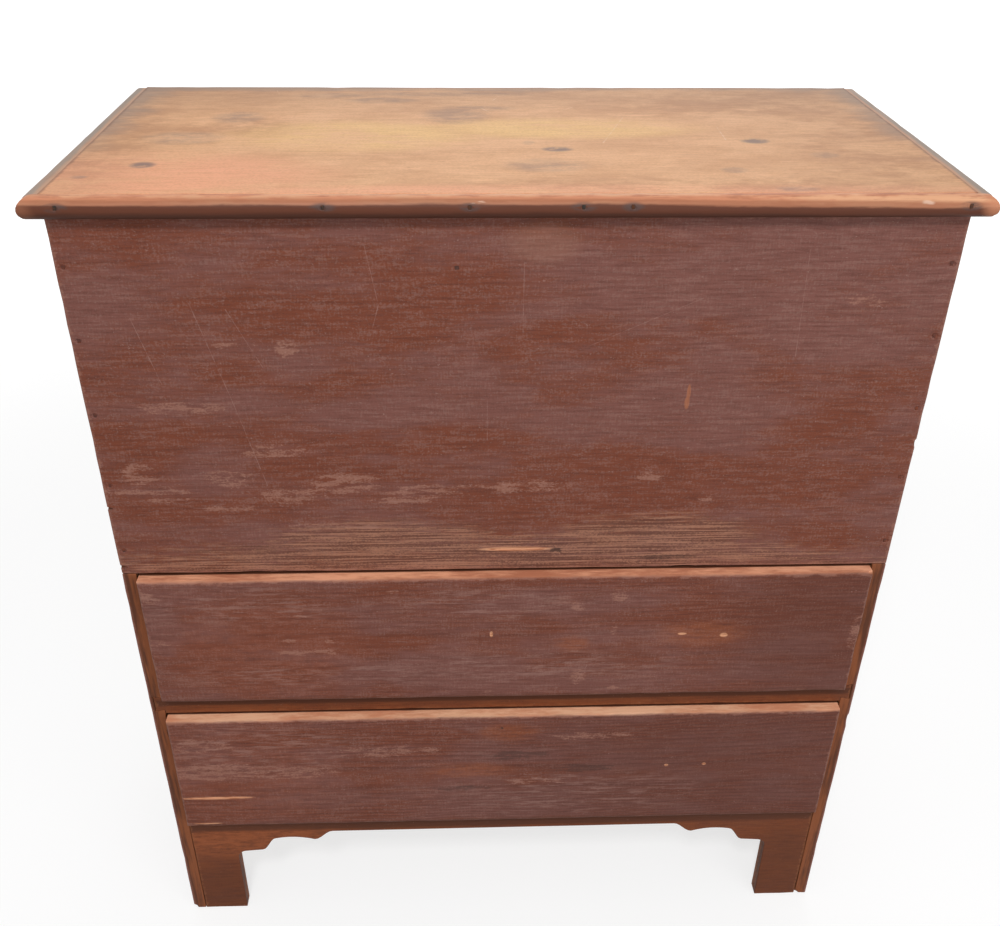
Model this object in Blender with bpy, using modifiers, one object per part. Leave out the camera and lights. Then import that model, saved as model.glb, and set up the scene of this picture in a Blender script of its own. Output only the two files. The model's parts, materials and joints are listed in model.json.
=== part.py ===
"""Lift-top blanket chest: a deep well over two drawers, on scrolled bracket feet.

Metres, +Z up, the front towards -Y. The origin is on the floor under the middle of the chest.
"""

import math

import bmesh
import bpy
from mathutils import Matrix, Vector

# Case
CASE_WIDTH = 0.914
CASE_DEPTH = 0.437
CASE_HEIGHT = 1.057
SIDE_THICKNESS = 0.017
FRONT_THICKNESS = 0.019
BACK_THICKNESS = 0.018
RABBET_LIP = 0.008
BACKBOARD_COUNT = 3
BACKBOARD_BOTTOM = 0.160
WELL_FLOOR_THICKNESS = 0.016
WELL_FLOOR_RISE = 0.005
DADO_DEPTH = 0.006

# Heights of the front, from the floor up
SILL_HEIGHT = 0.1945
LOWER_OPENING = 0.2005
MID_RAIL_HEIGHT = 0.032
UPPER_OPENING = 0.194

# Drawer rail and runners
MID_RAIL_DEPTH = 0.022
RAIL_LAP = 0.005
RAIL_SHOULDER = 0.006
RAIL_FLARE = 0.0025
RUNNER_WIDTH = 0.022
RUNNER_HEIGHT = 0.020

# Scrolled front bracket: drops are measured down from the lower edge of the apron
APRON_THICKNESS = 0.019
APRON_HEIGHT = 0.033
FOOT_WIDTH = 0.078
FOOT_FILLET = 0.013
SHELF_DROP = 0.038
SHELF_SLOPE = 0.002
SHELF_WIDTH = 0.036
RISE_WIDTH = 0.020
ARCH_DROP = 0.013
ARCH_WIDTH = 0.055
ARCH_SPRING = 0.004
CUSP_DROP = 0.0165
SCROLL_WIDTH = 0.026

# Cut-out under each side board, which leaves a front and a back foot
SIDE_ARCH_WIDTH = 0.200
SIDE_ARCH_LEG = 0.020

# Lid and its applied mouldings
LID_THICKNESS = 0.022
LID_OVERHANG_FRONT = 0.018
LID_OVERHANG_SIDE = 0.018
FRONT_MOULDING_DEPTH = 0.016
END_MOULDING_WIDTH = 0.017
END_TOP_ROUND = 0.008
END_QUIRK = 0.0012
NOSE_HEIGHT = 0.010
NOSE_TOP_ROUND = 0.013
NOSE_UNDER_ROUND = 0.008

# Butt hinges
HINGE_INSET = 0.167
HINGE_LENGTH = 0.064
LEAF_WIDTH = 0.014
LEAF_THICKNESS = 0.0022
PIN_RADIUS = 0.0020
PIN_TIP = 0.0012

# Drawers
DRAWER_PROUD = 0.0155
DRAWER_FRONT_THICKNESS = 0.022
DRAWER_SIDE_THICKNESS = 0.012
DRAWER_BACK_THICKNESS = 0.012
DRAWER_SIDE_DROP = 0.004
DRAWER_SIDE_CLEARANCE = 0.0025
DRAWER_TOP_CLEARANCE = 0.002
DRAWER_EDGE_ROUND = 0.004
PANEL_THICKNESS = 0.009
PANEL_TONGUE = 0.005
PANEL_FEATHER = 0.028
GROOVE_DEPTH = 0.006
GROOVE_RISE = 0.014

# Dovetails
TAIL_COUNT = 3
PIN_BASE = 0.022
TAIL_FLARE = 0.0035
DOVETAIL_LAP = 0.007

# Gap left between pieces that touch, steps in curves, and the weld of a drawn outline
FIT = 0.0003
ARC_STEPS = 6
BARREL_STEPS = 16
ROUND_SEGMENTS = 3
WELD = 0.00001

# Places worked out from the sizes above
BARREL_RADIUS = PIN_RADIUS + FIT + LEAF_THICKNESS
CHEST_DEPTH = LID_OVERHANG_FRONT + CASE_DEPTH + FIT + 2 * BARREL_RADIUS
CASE_FRONT = LID_OVERHANG_FRONT - CHEST_DEPTH / 2
CASE_BACK = CASE_FRONT + CASE_DEPTH
BACKBOARD_FACE = CASE_BACK - BACK_THICKNESS
CASE_HALF = CASE_WIDTH / 2
INSIDE_HALF = CASE_HALF - SIDE_THICKNESS
RABBET_HALF = CASE_HALF - RABBET_LIP
MID_RAIL_LOW = SILL_HEIGHT + LOWER_OPENING
UPPER_SILL = MID_RAIL_LOW + MID_RAIL_HEIGHT
FRONT_BOARD_LOW = UPPER_SILL + UPPER_OPENING
WELL_FLOOR_LOW = FRONT_BOARD_LOW + WELL_FLOOR_RISE
WELL_FLOOR_TOP = WELL_FLOOR_LOW + WELL_FLOOR_THICKNESS
APRON_LOW = SILL_HEIGHT - APRON_HEIGHT
LID_LOW = CASE_HEIGHT + FIT
LID_TOP = LID_LOW + LID_THICKNESS
LID_FRONT = CASE_FRONT - LID_OVERHANG_FRONT
LID_HALF = CASE_HALF + LID_OVERHANG_SIDE
LID_SEAM = LID_FRONT + FRONT_MOULDING_DEPTH
HINGE_AXIS = Vector((0.0, CASE_BACK + FIT + BARREL_RADIUS, CASE_HEIGHT + FIT / 2))
HINGE_MIDDLE = CASE_HALF - HINGE_INSET
KNUCKLE_LENGTH = HINGE_LENGTH / 3
DRAWER_HALF = INSIDE_HALF - DRAWER_SIDE_CLEARANCE
DRAWER_FACE = CASE_FRONT - DRAWER_PROUD
DRAWER_SHOULDER = DRAWER_FACE + DRAWER_FRONT_THICKNESS
DRAWER_REAR = BACKBOARD_FACE - FIT
TAIL_LENGTH = DRAWER_FRONT_THICKNESS - DOVETAIL_LAP
REAR_SHOULDER = DRAWER_REAR - DRAWER_BACK_THICKNESS

# An outline drawn flat is stood up: (across, up) as seen from the side, or from the front
SIDE_VIEW = (math.pi / 2, 0.0, math.pi / 2)
FRONT_VIEW = (math.pi / 2, 0.0, 0.0)


def clear_scene():
    """Remove whatever the scene holds."""
    for obj in list(bpy.data.objects):
        bpy.data.objects.remove(obj)


def new_collection(name):
    """Make a collection in the scene."""
    group = bpy.data.collections.new(name)
    bpy.context.scene.collection.children.link(group)
    return group


clear_scene()
CHEST = new_collection("blanket_chest")
CUTTERS = new_collection("cutters")


def new_finish(name, colour, roughness, metallic=0.0):
    """Make a plain surface finish."""
    finish = bpy.data.materials.new(name)
    finish.use_nodes = True
    shader = finish.node_tree.nodes["Principled BSDF"]
    shader.inputs["Base Color"].default_value = (*colour, 1.0)
    shader.inputs["Roughness"].default_value = roughness
    shader.inputs["Metallic"].default_value = metallic
    return finish


RED_PAINT = new_finish("worn_red_paint", (0.20, 0.075, 0.055), 0.55)
LID_PINE = new_finish("honey_pine", (0.52, 0.27, 0.12), 0.45)
MOULDING_PINE = new_finish("red_brown_moulding", (0.38, 0.15, 0.075), 0.45)
BARE_PINE = new_finish("bare_pine", (0.46, 0.29, 0.16), 0.75)
IRON = new_finish("dark_iron", (0.06, 0.055, 0.05), 0.55, 0.9)


def new_empty(name, place):
    """Make the empty that a body's pieces hang on, at the joint's own place."""
    empty = bpy.data.objects.new(name, None)
    empty.location = place
    CHEST.objects.link(empty)
    return empty


CASE = new_empty("case_body", (0.0, 0.0, 0.0))
LID = new_empty("lid_hinge_axis", HINGE_AXIS)
UPPER_DRAWER = new_empty("upper_drawer_slide", (0.0, DRAWER_FACE, UPPER_SILL))
LOWER_DRAWER = new_empty("lower_drawer_slide", (0.0, DRAWER_FACE, SILL_HEIGHT))


def place(name, mesh, body, centre, finish=None, turn=(0.0, 0.0, 0.0)):
    """Hang a mesh on its body at a place in the chest: a part with a finish, or else a cutter."""
    obj = bpy.data.objects.new(name, mesh)
    obj.parent = body
    obj.location = Vector(centre) - body.location
    obj.rotation_euler = turn
    if finish:
        mesh.materials.append(finish)
        CHEST.objects.link(obj)
    else:
        obj.hide_render = True
        obj.display_type = "WIRE"
        CUTTERS.objects.link(obj)
    return obj


def box_mesh(name, size):
    """Make a box of this size about its own centre."""
    mesh = bpy.data.meshes.new(name)
    shape = bmesh.new()
    bmesh.ops.create_cube(shape, size=1.0, matrix=Matrix.Diagonal((*size, 1.0)))
    shape.to_mesh(mesh)
    shape.free()
    return mesh


def box(name, low, high, body, finish=None):
    """Make a square-cut board, or a cutter, between two corners."""
    low = Vector(low)
    high = Vector(high)
    return place(name, box_mesh(name, high - low), body, (low + high) / 2, finish)


def prism_mesh(name, outlines, thickness):
    """Draw flat outlines as a filled curve with thickness, and make it a welded mesh."""
    curve = bpy.data.curves.new(name, "CURVE")
    curve.dimensions = "2D"
    curve.fill_mode = "BOTH"
    curve.extrude = thickness / 2
    for outline in outlines:
        spline = curve.splines.new("POLY")
        spline.points.add(len(outline) - 1)
        for point, (across, up) in zip(spline.points, outline):
            point.co = (across, up, 0.0, 1.0)
        spline.use_cyclic_u = True
    drawn = bpy.data.objects.new(name, curve)
    bpy.context.scene.collection.objects.link(drawn)
    graph = bpy.context.evaluated_depsgraph_get()
    mesh = bpy.data.meshes.new_from_object(drawn.evaluated_get(graph))
    bpy.data.objects.remove(drawn)
    shape = bmesh.new()
    shape.from_mesh(mesh)
    bmesh.ops.remove_doubles(shape, verts=shape.verts, dist=WELD)
    bmesh.ops.recalc_face_normals(shape, faces=shape.faces)
    shape.to_mesh(mesh)
    shape.free()
    return mesh


def side_prism(name, outline, x_low, x_high, body, finish=None):
    """Stand up an outline of (y, z) points, from one x to another."""
    mesh = prism_mesh(name, [outline], x_high - x_low)
    return place(name, mesh, body, ((x_low + x_high) / 2, 0.0, 0.0), finish, SIDE_VIEW)


def front_prism(name, outline, y_low, y_high, body, finish=None):
    """Stand up an outline of (x, z) points, from one y to another."""
    mesh = prism_mesh(name, [outline], y_high - y_low)
    return place(name, mesh, body, (0.0, (y_low + y_high) / 2, 0.0), finish, FRONT_VIEW)


def shape_with(obj, tool, operation="DIFFERENCE"):
    """Cut, join or trim a piece with another shape."""
    change = obj.modifiers.new(tool.name, "BOOLEAN")
    change.operation = operation
    change.solver = "EXACT"
    change.object = tool


def mirrored(points):
    """Add the other half of an outline that is drawn up to the centre line."""
    return points + [(-across, up) for across, up in reversed(points)]


def arc(centre, radius_across, radius_up, start_deg, end_deg, steps=ARC_STEPS):
    """Points along an elliptical arc."""
    points = []
    for step in range(steps + 1):
        angle = math.radians(start_deg + (end_deg - start_deg) * step / steps)
        across = centre[0] + radius_across * math.cos(angle)
        up = centre[1] + radius_up * math.sin(angle)
        points.append((across, up))
    return points


def scroll(start, end, steps=ARC_STEPS):
    """Points along an S-shaped rise that leaves and arrives level."""
    points = []
    for step in range(steps + 1):
        share = step / steps
        ease = (1 - math.cos(math.pi * share)) / 2
        points.append((start[0] + (end[0] - start[0]) * share, start[1] + (end[1] - start[1]) * ease))
    return points


def shallow_arch(start, end, spring, steps=ARC_STEPS):
    """Points along a low arch, without its first and last."""
    points = []
    for step in range(1, steps):
        share = step / steps
        up = start[1] + (end[1] - start[1]) * share + 4 * spring * share * (1 - share)
        points.append((start[0] + (end[0] - start[0]) * share, up))
    return points


def side_outline():
    """The side board seen from the side: set back for the front board, with feet at the bottom."""
    middle = (CASE_FRONT + CASE_BACK) / 2
    radius = SIDE_ARCH_WIDTH / 2
    foot_cut = [(middle - radius, 0.0)]
    foot_cut += arc((middle, SIDE_ARCH_LEG), radius, radius, 180, 0, 2 * ARC_STEPS)
    foot_cut += [(middle + radius, 0.0)]
    setback = CASE_FRONT + FRONT_THICKNESS + FIT
    step = FRONT_BOARD_LOW - FIT
    upper = [(CASE_BACK, CASE_HEIGHT), (setback, CASE_HEIGHT), (setback, step), (CASE_FRONT, step)]
    return [(CASE_FRONT, 0.0)] + foot_cut + [(CASE_BACK, 0.0)] + upper


def rail_outline(grow=0.0):
    """The drawer rail seen from the front, with a dovetail on each end; a cutter is grown a little."""
    low = MID_RAIL_LOW
    high = MID_RAIL_LOW + MID_RAIL_HEIGHT
    shoulder = INSIDE_HALF - FIT
    tip = CASE_HALF - RAIL_LAP - FIT + grow
    neck_low = low + RAIL_SHOULDER - grow
    neck_high = high - RAIL_SHOULDER + grow
    left_end = [
        (-shoulder, low),
        (-shoulder, neck_low),
        (-tip, neck_low - RAIL_FLARE),
        (-tip, neck_high + RAIL_FLARE),
        (-shoulder, neck_high),
        (-shoulder, high),
    ]
    return mirrored(left_end)


def rail_socket_outline(side):
    """The dovetail socket for one end of the rail, open to the inside of the case."""
    left_tail = rail_outline(FIT)[1:5]
    return [(-side * across, up) for across, up in left_tail]


def add_side(name, side):
    """One side board, with its rabbet, its dado and the rail's dovetail socket."""
    low = min(side * CASE_HALF, side * INSIDE_HALF)
    board = side_prism(name, side_outline(), low, low + SIDE_THICKNESS, CASE, RED_PAINT)
    past = 2 * SIDE_THICKNESS
    inner = side * (INSIDE_HALF - past)
    rabbet = side * RABBET_HALF
    corner = (min(inner, rabbet), BACKBOARD_FACE - FIT, BACKBOARD_BOTTOM - FIT)
    far = (max(inner, rabbet), CASE_BACK + past, CASE_HEIGHT + past)
    shape_with(board, box(name + "_rabbet", corner, far, CASE))
    dado = side * (INSIDE_HALF + DADO_DEPTH)
    corner = (min(inner, dado), CASE_FRONT + FRONT_THICKNESS, WELL_FLOOR_LOW - FIT)
    far = (max(inner, dado), BACKBOARD_FACE, WELL_FLOOR_TOP + FIT)
    shape_with(board, box(name + "_dado", corner, far, CASE))
    socket_back = CASE_FRONT + MID_RAIL_DEPTH + FIT
    socket_front = CASE_FRONT - past
    socket = front_prism(name + "_socket", rail_socket_outline(side), socket_front, socket_back, CASE)
    shape_with(board, socket)


def add_backboards():
    """Horizontal backboards, side by side up the rabbets, with hinge mortises in the top one."""
    half = RABBET_HALF - FIT
    pitch = (CASE_HEIGHT - BACKBOARD_BOTTOM) / BACKBOARD_COUNT
    for number in range(BACKBOARD_COUNT):
        low = BACKBOARD_BOTTOM + number * pitch + (FIT if number else 0.0)
        high = BACKBOARD_BOTTOM + (number + 1) * pitch
        name = f"backboard_{number + 1}"
        board = box(name, (-half, BACKBOARD_FACE, low), (half, CASE_BACK, high), CASE, BARE_PINE)
    for side, label in ((-1, "left"), (1, "right")):
        shape_with(board, hinge_mortise("case_mortise_" + label, side, CASE, -1))


def apron_outline():
    """The front bracket seen from the front: two scrolled feet under a straight apron."""
    outer = -INSIDE_HALF + FIT
    foot = -CASE_HALF + FOOT_WIDTH
    shelf = APRON_LOW - SHELF_DROP
    shelf_end = (foot + SHELF_WIDTH, shelf + SHELF_SLOPE)
    arch_start = (shelf_end[0] + RISE_WIDTH, APRON_LOW - ARCH_DROP)
    cusp = (arch_start[0] + ARCH_WIDTH, APRON_LOW - CUSP_DROP)
    scroll_end = (cusp[0] + SCROLL_WIDTH, APRON_LOW)
    half = [(outer, SILL_HEIGHT), (outer, 0.0), (foot, 0.0)]
    half += arc((foot + FOOT_FILLET, shelf - FOOT_FILLET), FOOT_FILLET, FOOT_FILLET, 180, 90)
    half += scroll(shelf_end, arch_start)
    half += shallow_arch(arch_start, cusp, ARCH_SPRING)
    half += scroll(cusp, scroll_end)
    return mirrored(half)


def add_case():
    """The fixed carcase: sides, front, back, well floor, rail, apron and runners."""
    add_side("side_left", -1)
    add_side("side_right", 1)
    add_backboards()
    low = (-CASE_HALF, CASE_FRONT, FRONT_BOARD_LOW)
    high = (CASE_HALF, CASE_FRONT + FRONT_THICKNESS, CASE_HEIGHT)
    box("front_board", low, high, CASE, RED_PAINT)
    floor_half = INSIDE_HALF + DADO_DEPTH - FIT
    low = (-floor_half, CASE_FRONT + FRONT_THICKNESS + FIT, WELL_FLOOR_LOW)
    box("well_floor", low, (floor_half, BACKBOARD_FACE - FIT, WELL_FLOOR_TOP), CASE, BARE_PINE)
    front_prism("mid_rail", rail_outline(), CASE_FRONT, CASE_FRONT + MID_RAIL_DEPTH, CASE, RED_PAINT)
    apron_back = CASE_FRONT + APRON_THICKNESS
    front_prism("bracket_apron", apron_outline(), CASE_FRONT, apron_back, CASE, RED_PAINT)
    add_runners("upper", UPPER_SILL, CASE_FRONT + MID_RAIL_DEPTH + FIT)
    add_runners("lower", SILL_HEIGHT, apron_back + FIT)


def add_runners(label, top, front):
    """The pair of strips that a drawer slides on, nailed along the inside of the side boards."""
    outer = INSIDE_HALF - FIT
    inner = outer - RUNNER_WIDTH
    back = BACKBOARD_FACE - FIT
    low = top - RUNNER_HEIGHT
    box(label + "_runner_left", (-outer, front, low), (-inner, back, top), CASE, BARE_PINE)
    box(label + "_runner_right", (inner, front, low), (outer, back, top), CASE, BARE_PINE)


def nose_outline(edge, seam, top, crown=NOSE_TOP_ROUND):
    """A moulded edge from its seam at the top, round the nose, to its seam underneath.

    The edge is at -across, and the outline runs anticlockwise from the top seam. The crown is how far
    the rounding reaches in over the top.
    """
    depth = seam - edge
    top_round = min(crown, depth)
    under_round = min(NOSE_UNDER_ROUND, depth)
    nose = LID_LOW + min(NOSE_HEIGHT, LID_THICKNESS / 2)
    points = [(seam, top)] if top_round < depth else []
    points += arc((edge + top_round, nose), top_round, top - nose, 90, 180)
    points += arc((edge + under_round, nose), under_round, nose - LID_LOW, 180, 270)[1:]
    if under_round < depth:
        points.append((seam, LID_LOW))
    return points


def add_lid():
    """The lid board with its bullnose front moulding, two end mouldings and hinge mortises."""
    seam_half = LID_HALF - END_MOULDING_WIDTH
    low = (-seam_half + FIT, LID_SEAM + FIT, LID_LOW)
    board = box("lid_board", low, (seam_half - FIT, CASE_BACK, LID_TOP), LID, LID_PINE)
    for side, label in ((-1, "left"), (1, "right")):
        shape_with(board, hinge_mortise("lid_mortise_" + label, side, LID, 1))
        outline = nose_outline(-LID_HALF, -seam_half, LID_TOP - END_QUIRK, END_TOP_ROUND)
        outline = [(-side * across, up) for across, up in outline]
        name = "lid_end_moulding_" + label
        mesh = prism_mesh(name, [lid_local(outline)], CASE_BACK - LID_SEAM - FIT)
        centre = (0.0, (LID_SEAM + FIT + CASE_BACK) / 2, LID_LOW)
        place(name, mesh, LID, centre, MOULDING_PINE, FRONT_VIEW)
    section = lid_local(nose_outline(LID_FRONT, LID_SEAM, LID_TOP))
    mesh = prism_mesh("lid_front_moulding", [section], 2 * LID_HALF)
    front = place("lid_front_moulding", mesh, LID, (0.0, 0.0, LID_LOW), MOULDING_PINE, SIDE_VIEW)
    for side, label in ((-1, "left"), (1, "right")):
        shape_with(front, moulding_return("moulding_return_" + label, side, seam_half))


def moulding_return(name, side, seam_half):
    """The cutter that turns the front moulding's rounding back along one end of the lid."""
    past = 2 * LID_THICKNESS
    nose = nose_outline(-LID_HALF, -seam_half, LID_TOP)
    above = [(-LID_HALF - past, LID_TOP + past), (nose[0][0], LID_TOP + past)]
    below = [(nose[-1][0], LID_LOW - past), (-LID_HALF - past, LID_LOW - past)]
    waste = [(-side * across, up) for across, up in above + nose + below]
    mesh = prism_mesh(name, [lid_local(waste)], 2 * FRONT_MOULDING_DEPTH)
    centre = (0.0, LID_FRONT + FRONT_MOULDING_DEPTH / 2, LID_LOW)
    return place(name, mesh, LID, centre, None, FRONT_VIEW)


def lid_local(outline):
    """Move an outline down so that it is measured from the underside of the lid."""
    return [(across, up - LID_LOW) for across, up in outline]


def hinge_mortise(name, side, body, up):
    """The cutter for the recess that a hinge leaf is let into, in the lid or in the top backboard."""
    middle = side * HINGE_MIDDLE
    face = HINGE_AXIS.z + up * FIT / 2
    floor = face + up * (LEAF_THICKNESS + FIT)
    past = face - up * LEAF_THICKNESS
    reach = HINGE_LENGTH / 2 + FIT
    low = (middle - reach, CASE_BACK - LEAF_WIDTH - FIT, min(floor, past))
    high = (middle + reach, CASE_BACK + LEAF_WIDTH, max(floor, past))
    return box(name, low, high, body)


def knuckle_outline(up):
    """A leaf and its rolled knuckle seen from the side, about the hinge axis."""
    near = FIT / 2
    far = FIT / 2 + LEAF_THICKNESS
    near_deg = math.degrees(math.asin(near / BARREL_RADIUS))
    far_deg = math.degrees(math.asin(far / BARREL_RADIUS))
    start_deg = 180 - far_deg
    end_deg = -180 - near_deg
    turn = arc((0.0, 0.0), BARREL_RADIUS, BARREL_RADIUS, start_deg, end_deg, BARREL_STEPS)
    toe = -BARREL_RADIUS - FIT - LEAF_WIDTH
    outline = [(toe, near), (toe, far)] + turn
    return [(across, up * height) for across, height in outline]


def add_leaf(name, side, body, up, knuckles):
    """One hinge leaf: a plate let into the wood, with its share of the knuckles."""
    middle = side * HINGE_MIDDLE
    half = HINGE_LENGTH / 2
    near = HINGE_AXIS.z + up * FIT / 2
    far = near + up * LEAF_THICKNESS
    low = (middle - half, CASE_BACK - LEAF_WIDTH, min(near, far))
    leaf = box(name, low, (middle + half, CASE_BACK, max(near, far)), body, IRON)
    for number in knuckles:
        start = middle - half + number * KNUCKLE_LENGTH
        length = KNUCKLE_LENGTH - FIT
        mesh = prism_mesh(f"{name}_knuckle_{number}", [knuckle_outline(up)], length)
        centre = (start + KNUCKLE_LENGTH / 2, HINGE_AXIS.y, HINGE_AXIS.z)
        roll = place(f"{name}_knuckle_{number}", mesh, body, centre, None, SIDE_VIEW)
        shape_with(leaf, roll, "UNION")
    shape_with(leaf, add_pin(name + "_bore", middle, body, PIN_RADIUS + FIT, 2 * HINGE_LENGTH))


def add_pin(name, middle, body, radius, length, finish=None):
    """A round bar along the hinge axis: the pin itself, or the cutter for its bore."""
    mesh = bpy.data.meshes.new(name)
    shape = bmesh.new()
    sizes = {"radius1": radius, "radius2": radius, "depth": length}
    bmesh.ops.create_cone(shape, cap_ends=True, segments=BARREL_STEPS, **sizes)
    shape.to_mesh(mesh)
    shape.free()
    mesh.shade_smooth()
    mesh.set_sharp_from_angle(angle=math.radians(40))
    centre = (middle, HINGE_AXIS.y, HINGE_AXIS.z)
    return place(name, mesh, body, centre, finish, (0.0, math.pi / 2, 0.0))


def add_hinges():
    """Two butt hinges: the case leaf has the outer knuckles and the pin, the lid leaf the middle one."""
    for side, label in ((-1, "left"), (1, "right")):
        middle = side * HINGE_MIDDLE
        add_leaf("hinge_case_leaf_" + label, side, CASE, -1, (0, 2))
        add_leaf("hinge_lid_leaf_" + label, side, LID, 1, (1,))
        add_pin("hinge_pin_" + label, middle, CASE, PIN_RADIUS, HINGE_LENGTH + 2 * PIN_TIP, IRON)


def tail_spans(low, high):
    """The height range of each dovetail at its shoulder, evenly spaced up a corner."""
    pitch = (high - low) / TAIL_COUNT
    width = pitch - PIN_BASE
    middles = [low + (number + 0.5) * pitch for number in range(TAIL_COUNT)]
    return [(middle - width / 2, middle + width / 2) for middle in middles]


def tail_edge(shoulder, tip, spans):
    """Points up the end of a drawer side, out and back round each dovetail."""
    points = []
    for low, high in spans:
        points += [(shoulder, low), (tip, low - TAIL_FLARE), (tip, high + TAIL_FLARE), (shoulder, high)]
    return points


def tail_cutter(name, side, shoulder, tip, spans, body):
    """The sockets for one corner's dovetails, a little larger than the tails all round."""
    out = math.copysign(FIT, tip - shoulder)
    outlines = []
    for low, high in spans:
        low -= FIT
        high += FIT
        root = shoulder - (tip - shoulder)
        narrow = [(root, low + TAIL_FLARE), (root, high - TAIL_FLARE)]
        wide = [(tip + out, high + TAIL_FLARE), (tip + out, low - TAIL_FLARE)]
        outlines.append(narrow + wide)
    depth = DRAWER_SIDE_THICKNESS + FIT
    past = 2 * DRAWER_SIDE_THICKNESS
    mesh = prism_mesh(name, outlines, depth + past)
    middle = side * (DRAWER_HALF + (past - depth) / 2)
    return place(name, mesh, body, (middle, 0.0, 0.0), None, SIDE_VIEW)


def add_drawer(label, body, sill, opening):
    """One drawer: a proud round-edged front, dovetailed to its sides and back, with a slid-in bottom."""
    low = sill + FIT
    top = sill + opening - DRAWER_TOP_CLEARANCE
    side_top = top - DRAWER_SIDE_DROP
    groove_low = low + GROOVE_RISE
    groove_top = groove_low + PANEL_TONGUE + 2 * FIT
    inner = DRAWER_HALF - DRAWER_SIDE_THICKNESS
    groove_half = inner + GROOVE_DEPTH
    groove_front = DRAWER_SHOULDER - GROOVE_DEPTH
    front_spans = tail_spans(low, side_top)
    back_spans = tail_spans(groove_top, side_top)
    back_spans[0] = (low, back_spans[0][1])
    front_tip = DRAWER_SHOULDER - TAIL_LENGTH + FIT

    corner = (-DRAWER_HALF, DRAWER_FACE, low)
    front = box(label + "_front", corner, (DRAWER_HALF, DRAWER_SHOULDER, top), body, RED_PAINT)
    round_front_edges(front)
    corner = (-DRAWER_HALF, REAR_SHOULDER, groove_top)
    back = box(label + "_back", corner, (DRAWER_HALF, DRAWER_REAR, side_top), body, BARE_PINE)
    corner = (-groove_half, groove_front, groove_low)
    groove_end = DRAWER_REAR + GROOVE_DEPTH
    groove = box(label + "_groove", corner, (groove_half, groove_end, groove_top), body)
    shape_with(front, groove)

    for side, hand in ((-1, "left"), (1, "right")):
        outline = tail_edge(DRAWER_SHOULDER + FIT, front_tip, front_spans)
        outline = [(DRAWER_SHOULDER + FIT, low)] + outline + [(DRAWER_SHOULDER + FIT, side_top)]
        rear = tail_edge(REAR_SHOULDER - FIT, DRAWER_REAR, back_spans)[2:]
        rear = [(DRAWER_REAR, low)] + rear + [(REAR_SHOULDER - FIT, side_top)]
        outline += list(reversed(rear))
        start = min(side * DRAWER_HALF, side * inner)
        end = start + DRAWER_SIDE_THICKNESS
        board = side_prism(f"{label}_side_{hand}", outline, start, end, body, BARE_PINE)
        shape_with(board, groove)
        name = f"{label}_front_sockets_{hand}"
        shape_with(front, tail_cutter(name, side, DRAWER_SHOULDER, front_tip, front_spans, body))
        name = f"{label}_back_sockets_{hand}"
        shape_with(back, tail_cutter(name, side, REAR_SHOULDER, DRAWER_REAR, back_spans, body))
    add_panel(label, body, groove_low + FIT, groove_half - FIT, groove_front + FIT)


def round_front_edges(front):
    """Round the worn arrises about the face of a drawer front."""
    mesh = front.data
    weights = mesh.attributes.new("bevel_weight_edge", "FLOAT", "EDGE")
    for edge in mesh.edges:
        on_face = all(mesh.vertices[number].co.y < 0 for number in edge.vertices)
        weights.data[edge.index].value = 1.0 if on_face else 0.0
    bevel = front.modifiers.new("worn_arris", "BEVEL")
    bevel.limit_method = "WEIGHT"
    bevel.width = min(DRAWER_EDGE_ROUND, DRAWER_FRONT_THICKNESS / 2)
    bevel.segments = ROUND_SEGMENTS


def add_panel(label, body, low, half, front):
    """The drawer bottom: a board feathered underneath to a tongue on its front and both ends."""
    high = low + PANEL_TONGUE
    panel = box(label + "_bottom", (-half, front, low), (half, DRAWER_REAR, high), body, BARE_PINE)
    edge = half - GROOVE_DEPTH
    front_edge = GROOVE_DEPTH - (DRAWER_REAR - front) / 2
    shape = bmesh.new()
    shape.from_mesh(panel.data)
    seams = [((-edge, 0, 0), (1, 0, 0)), ((edge, 0, 0), (1, 0, 0)), ((0, front_edge, 0), (0, 1, 0))]
    for point, normal in seams:
        everything = shape.verts[:] + shape.edges[:] + shape.faces[:]
        bmesh.ops.bisect_plane(shape, geom=everything, plane_co=point, plane_no=normal)
    underside = [face for face in shape.faces if face.normal.z < -0.5]
    middle = max(underside, key=lambda face: face.calc_area())
    drawn = bmesh.ops.extrude_face_region(shape, geom=[middle])["geom"]
    bmesh.ops.delete(shape, geom=[middle], context="FACES_ONLY")
    for vert in drawn:
        if isinstance(vert, bmesh.types.BMVert):
            vert.co.z -= PANEL_THICKNESS - PANEL_TONGUE
            vert.co.x -= math.copysign(PANEL_FEATHER, vert.co.x)
            vert.co.y += PANEL_FEATHER if vert.co.y < 0 else 0.0
    bmesh.ops.recalc_face_normals(shape, faces=shape.faces)
    shape.to_mesh(panel.data)
    shape.free()


add_case()
add_lid()
add_hinges()
add_drawer("upper_drawer", UPPER_DRAWER, UPPER_SILL, UPPER_OPENING)
add_drawer("lower_drawer", LOWER_DRAWER, SILL_HEIGHT, LOWER_OPENING)
bpy.context.view_layer.update()
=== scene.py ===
# %% [markdown]
# # A worn, painted blanket chest
# The chest is a pine box: a deep well under a hinged lid, two drawers below it, and scrolled bracket
# feet. The measured model already holds every board at its true size and place. This lesson adds what
# long use adds: eased edges, thin and rubbed paint, bare wood, splits, nails and rust. The first step
# loads the boards and keeps their overall box, so that the last step can print the width worn off.

import json
import math

import bpy
from mathutils import Matrix, Vector, noise

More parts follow.
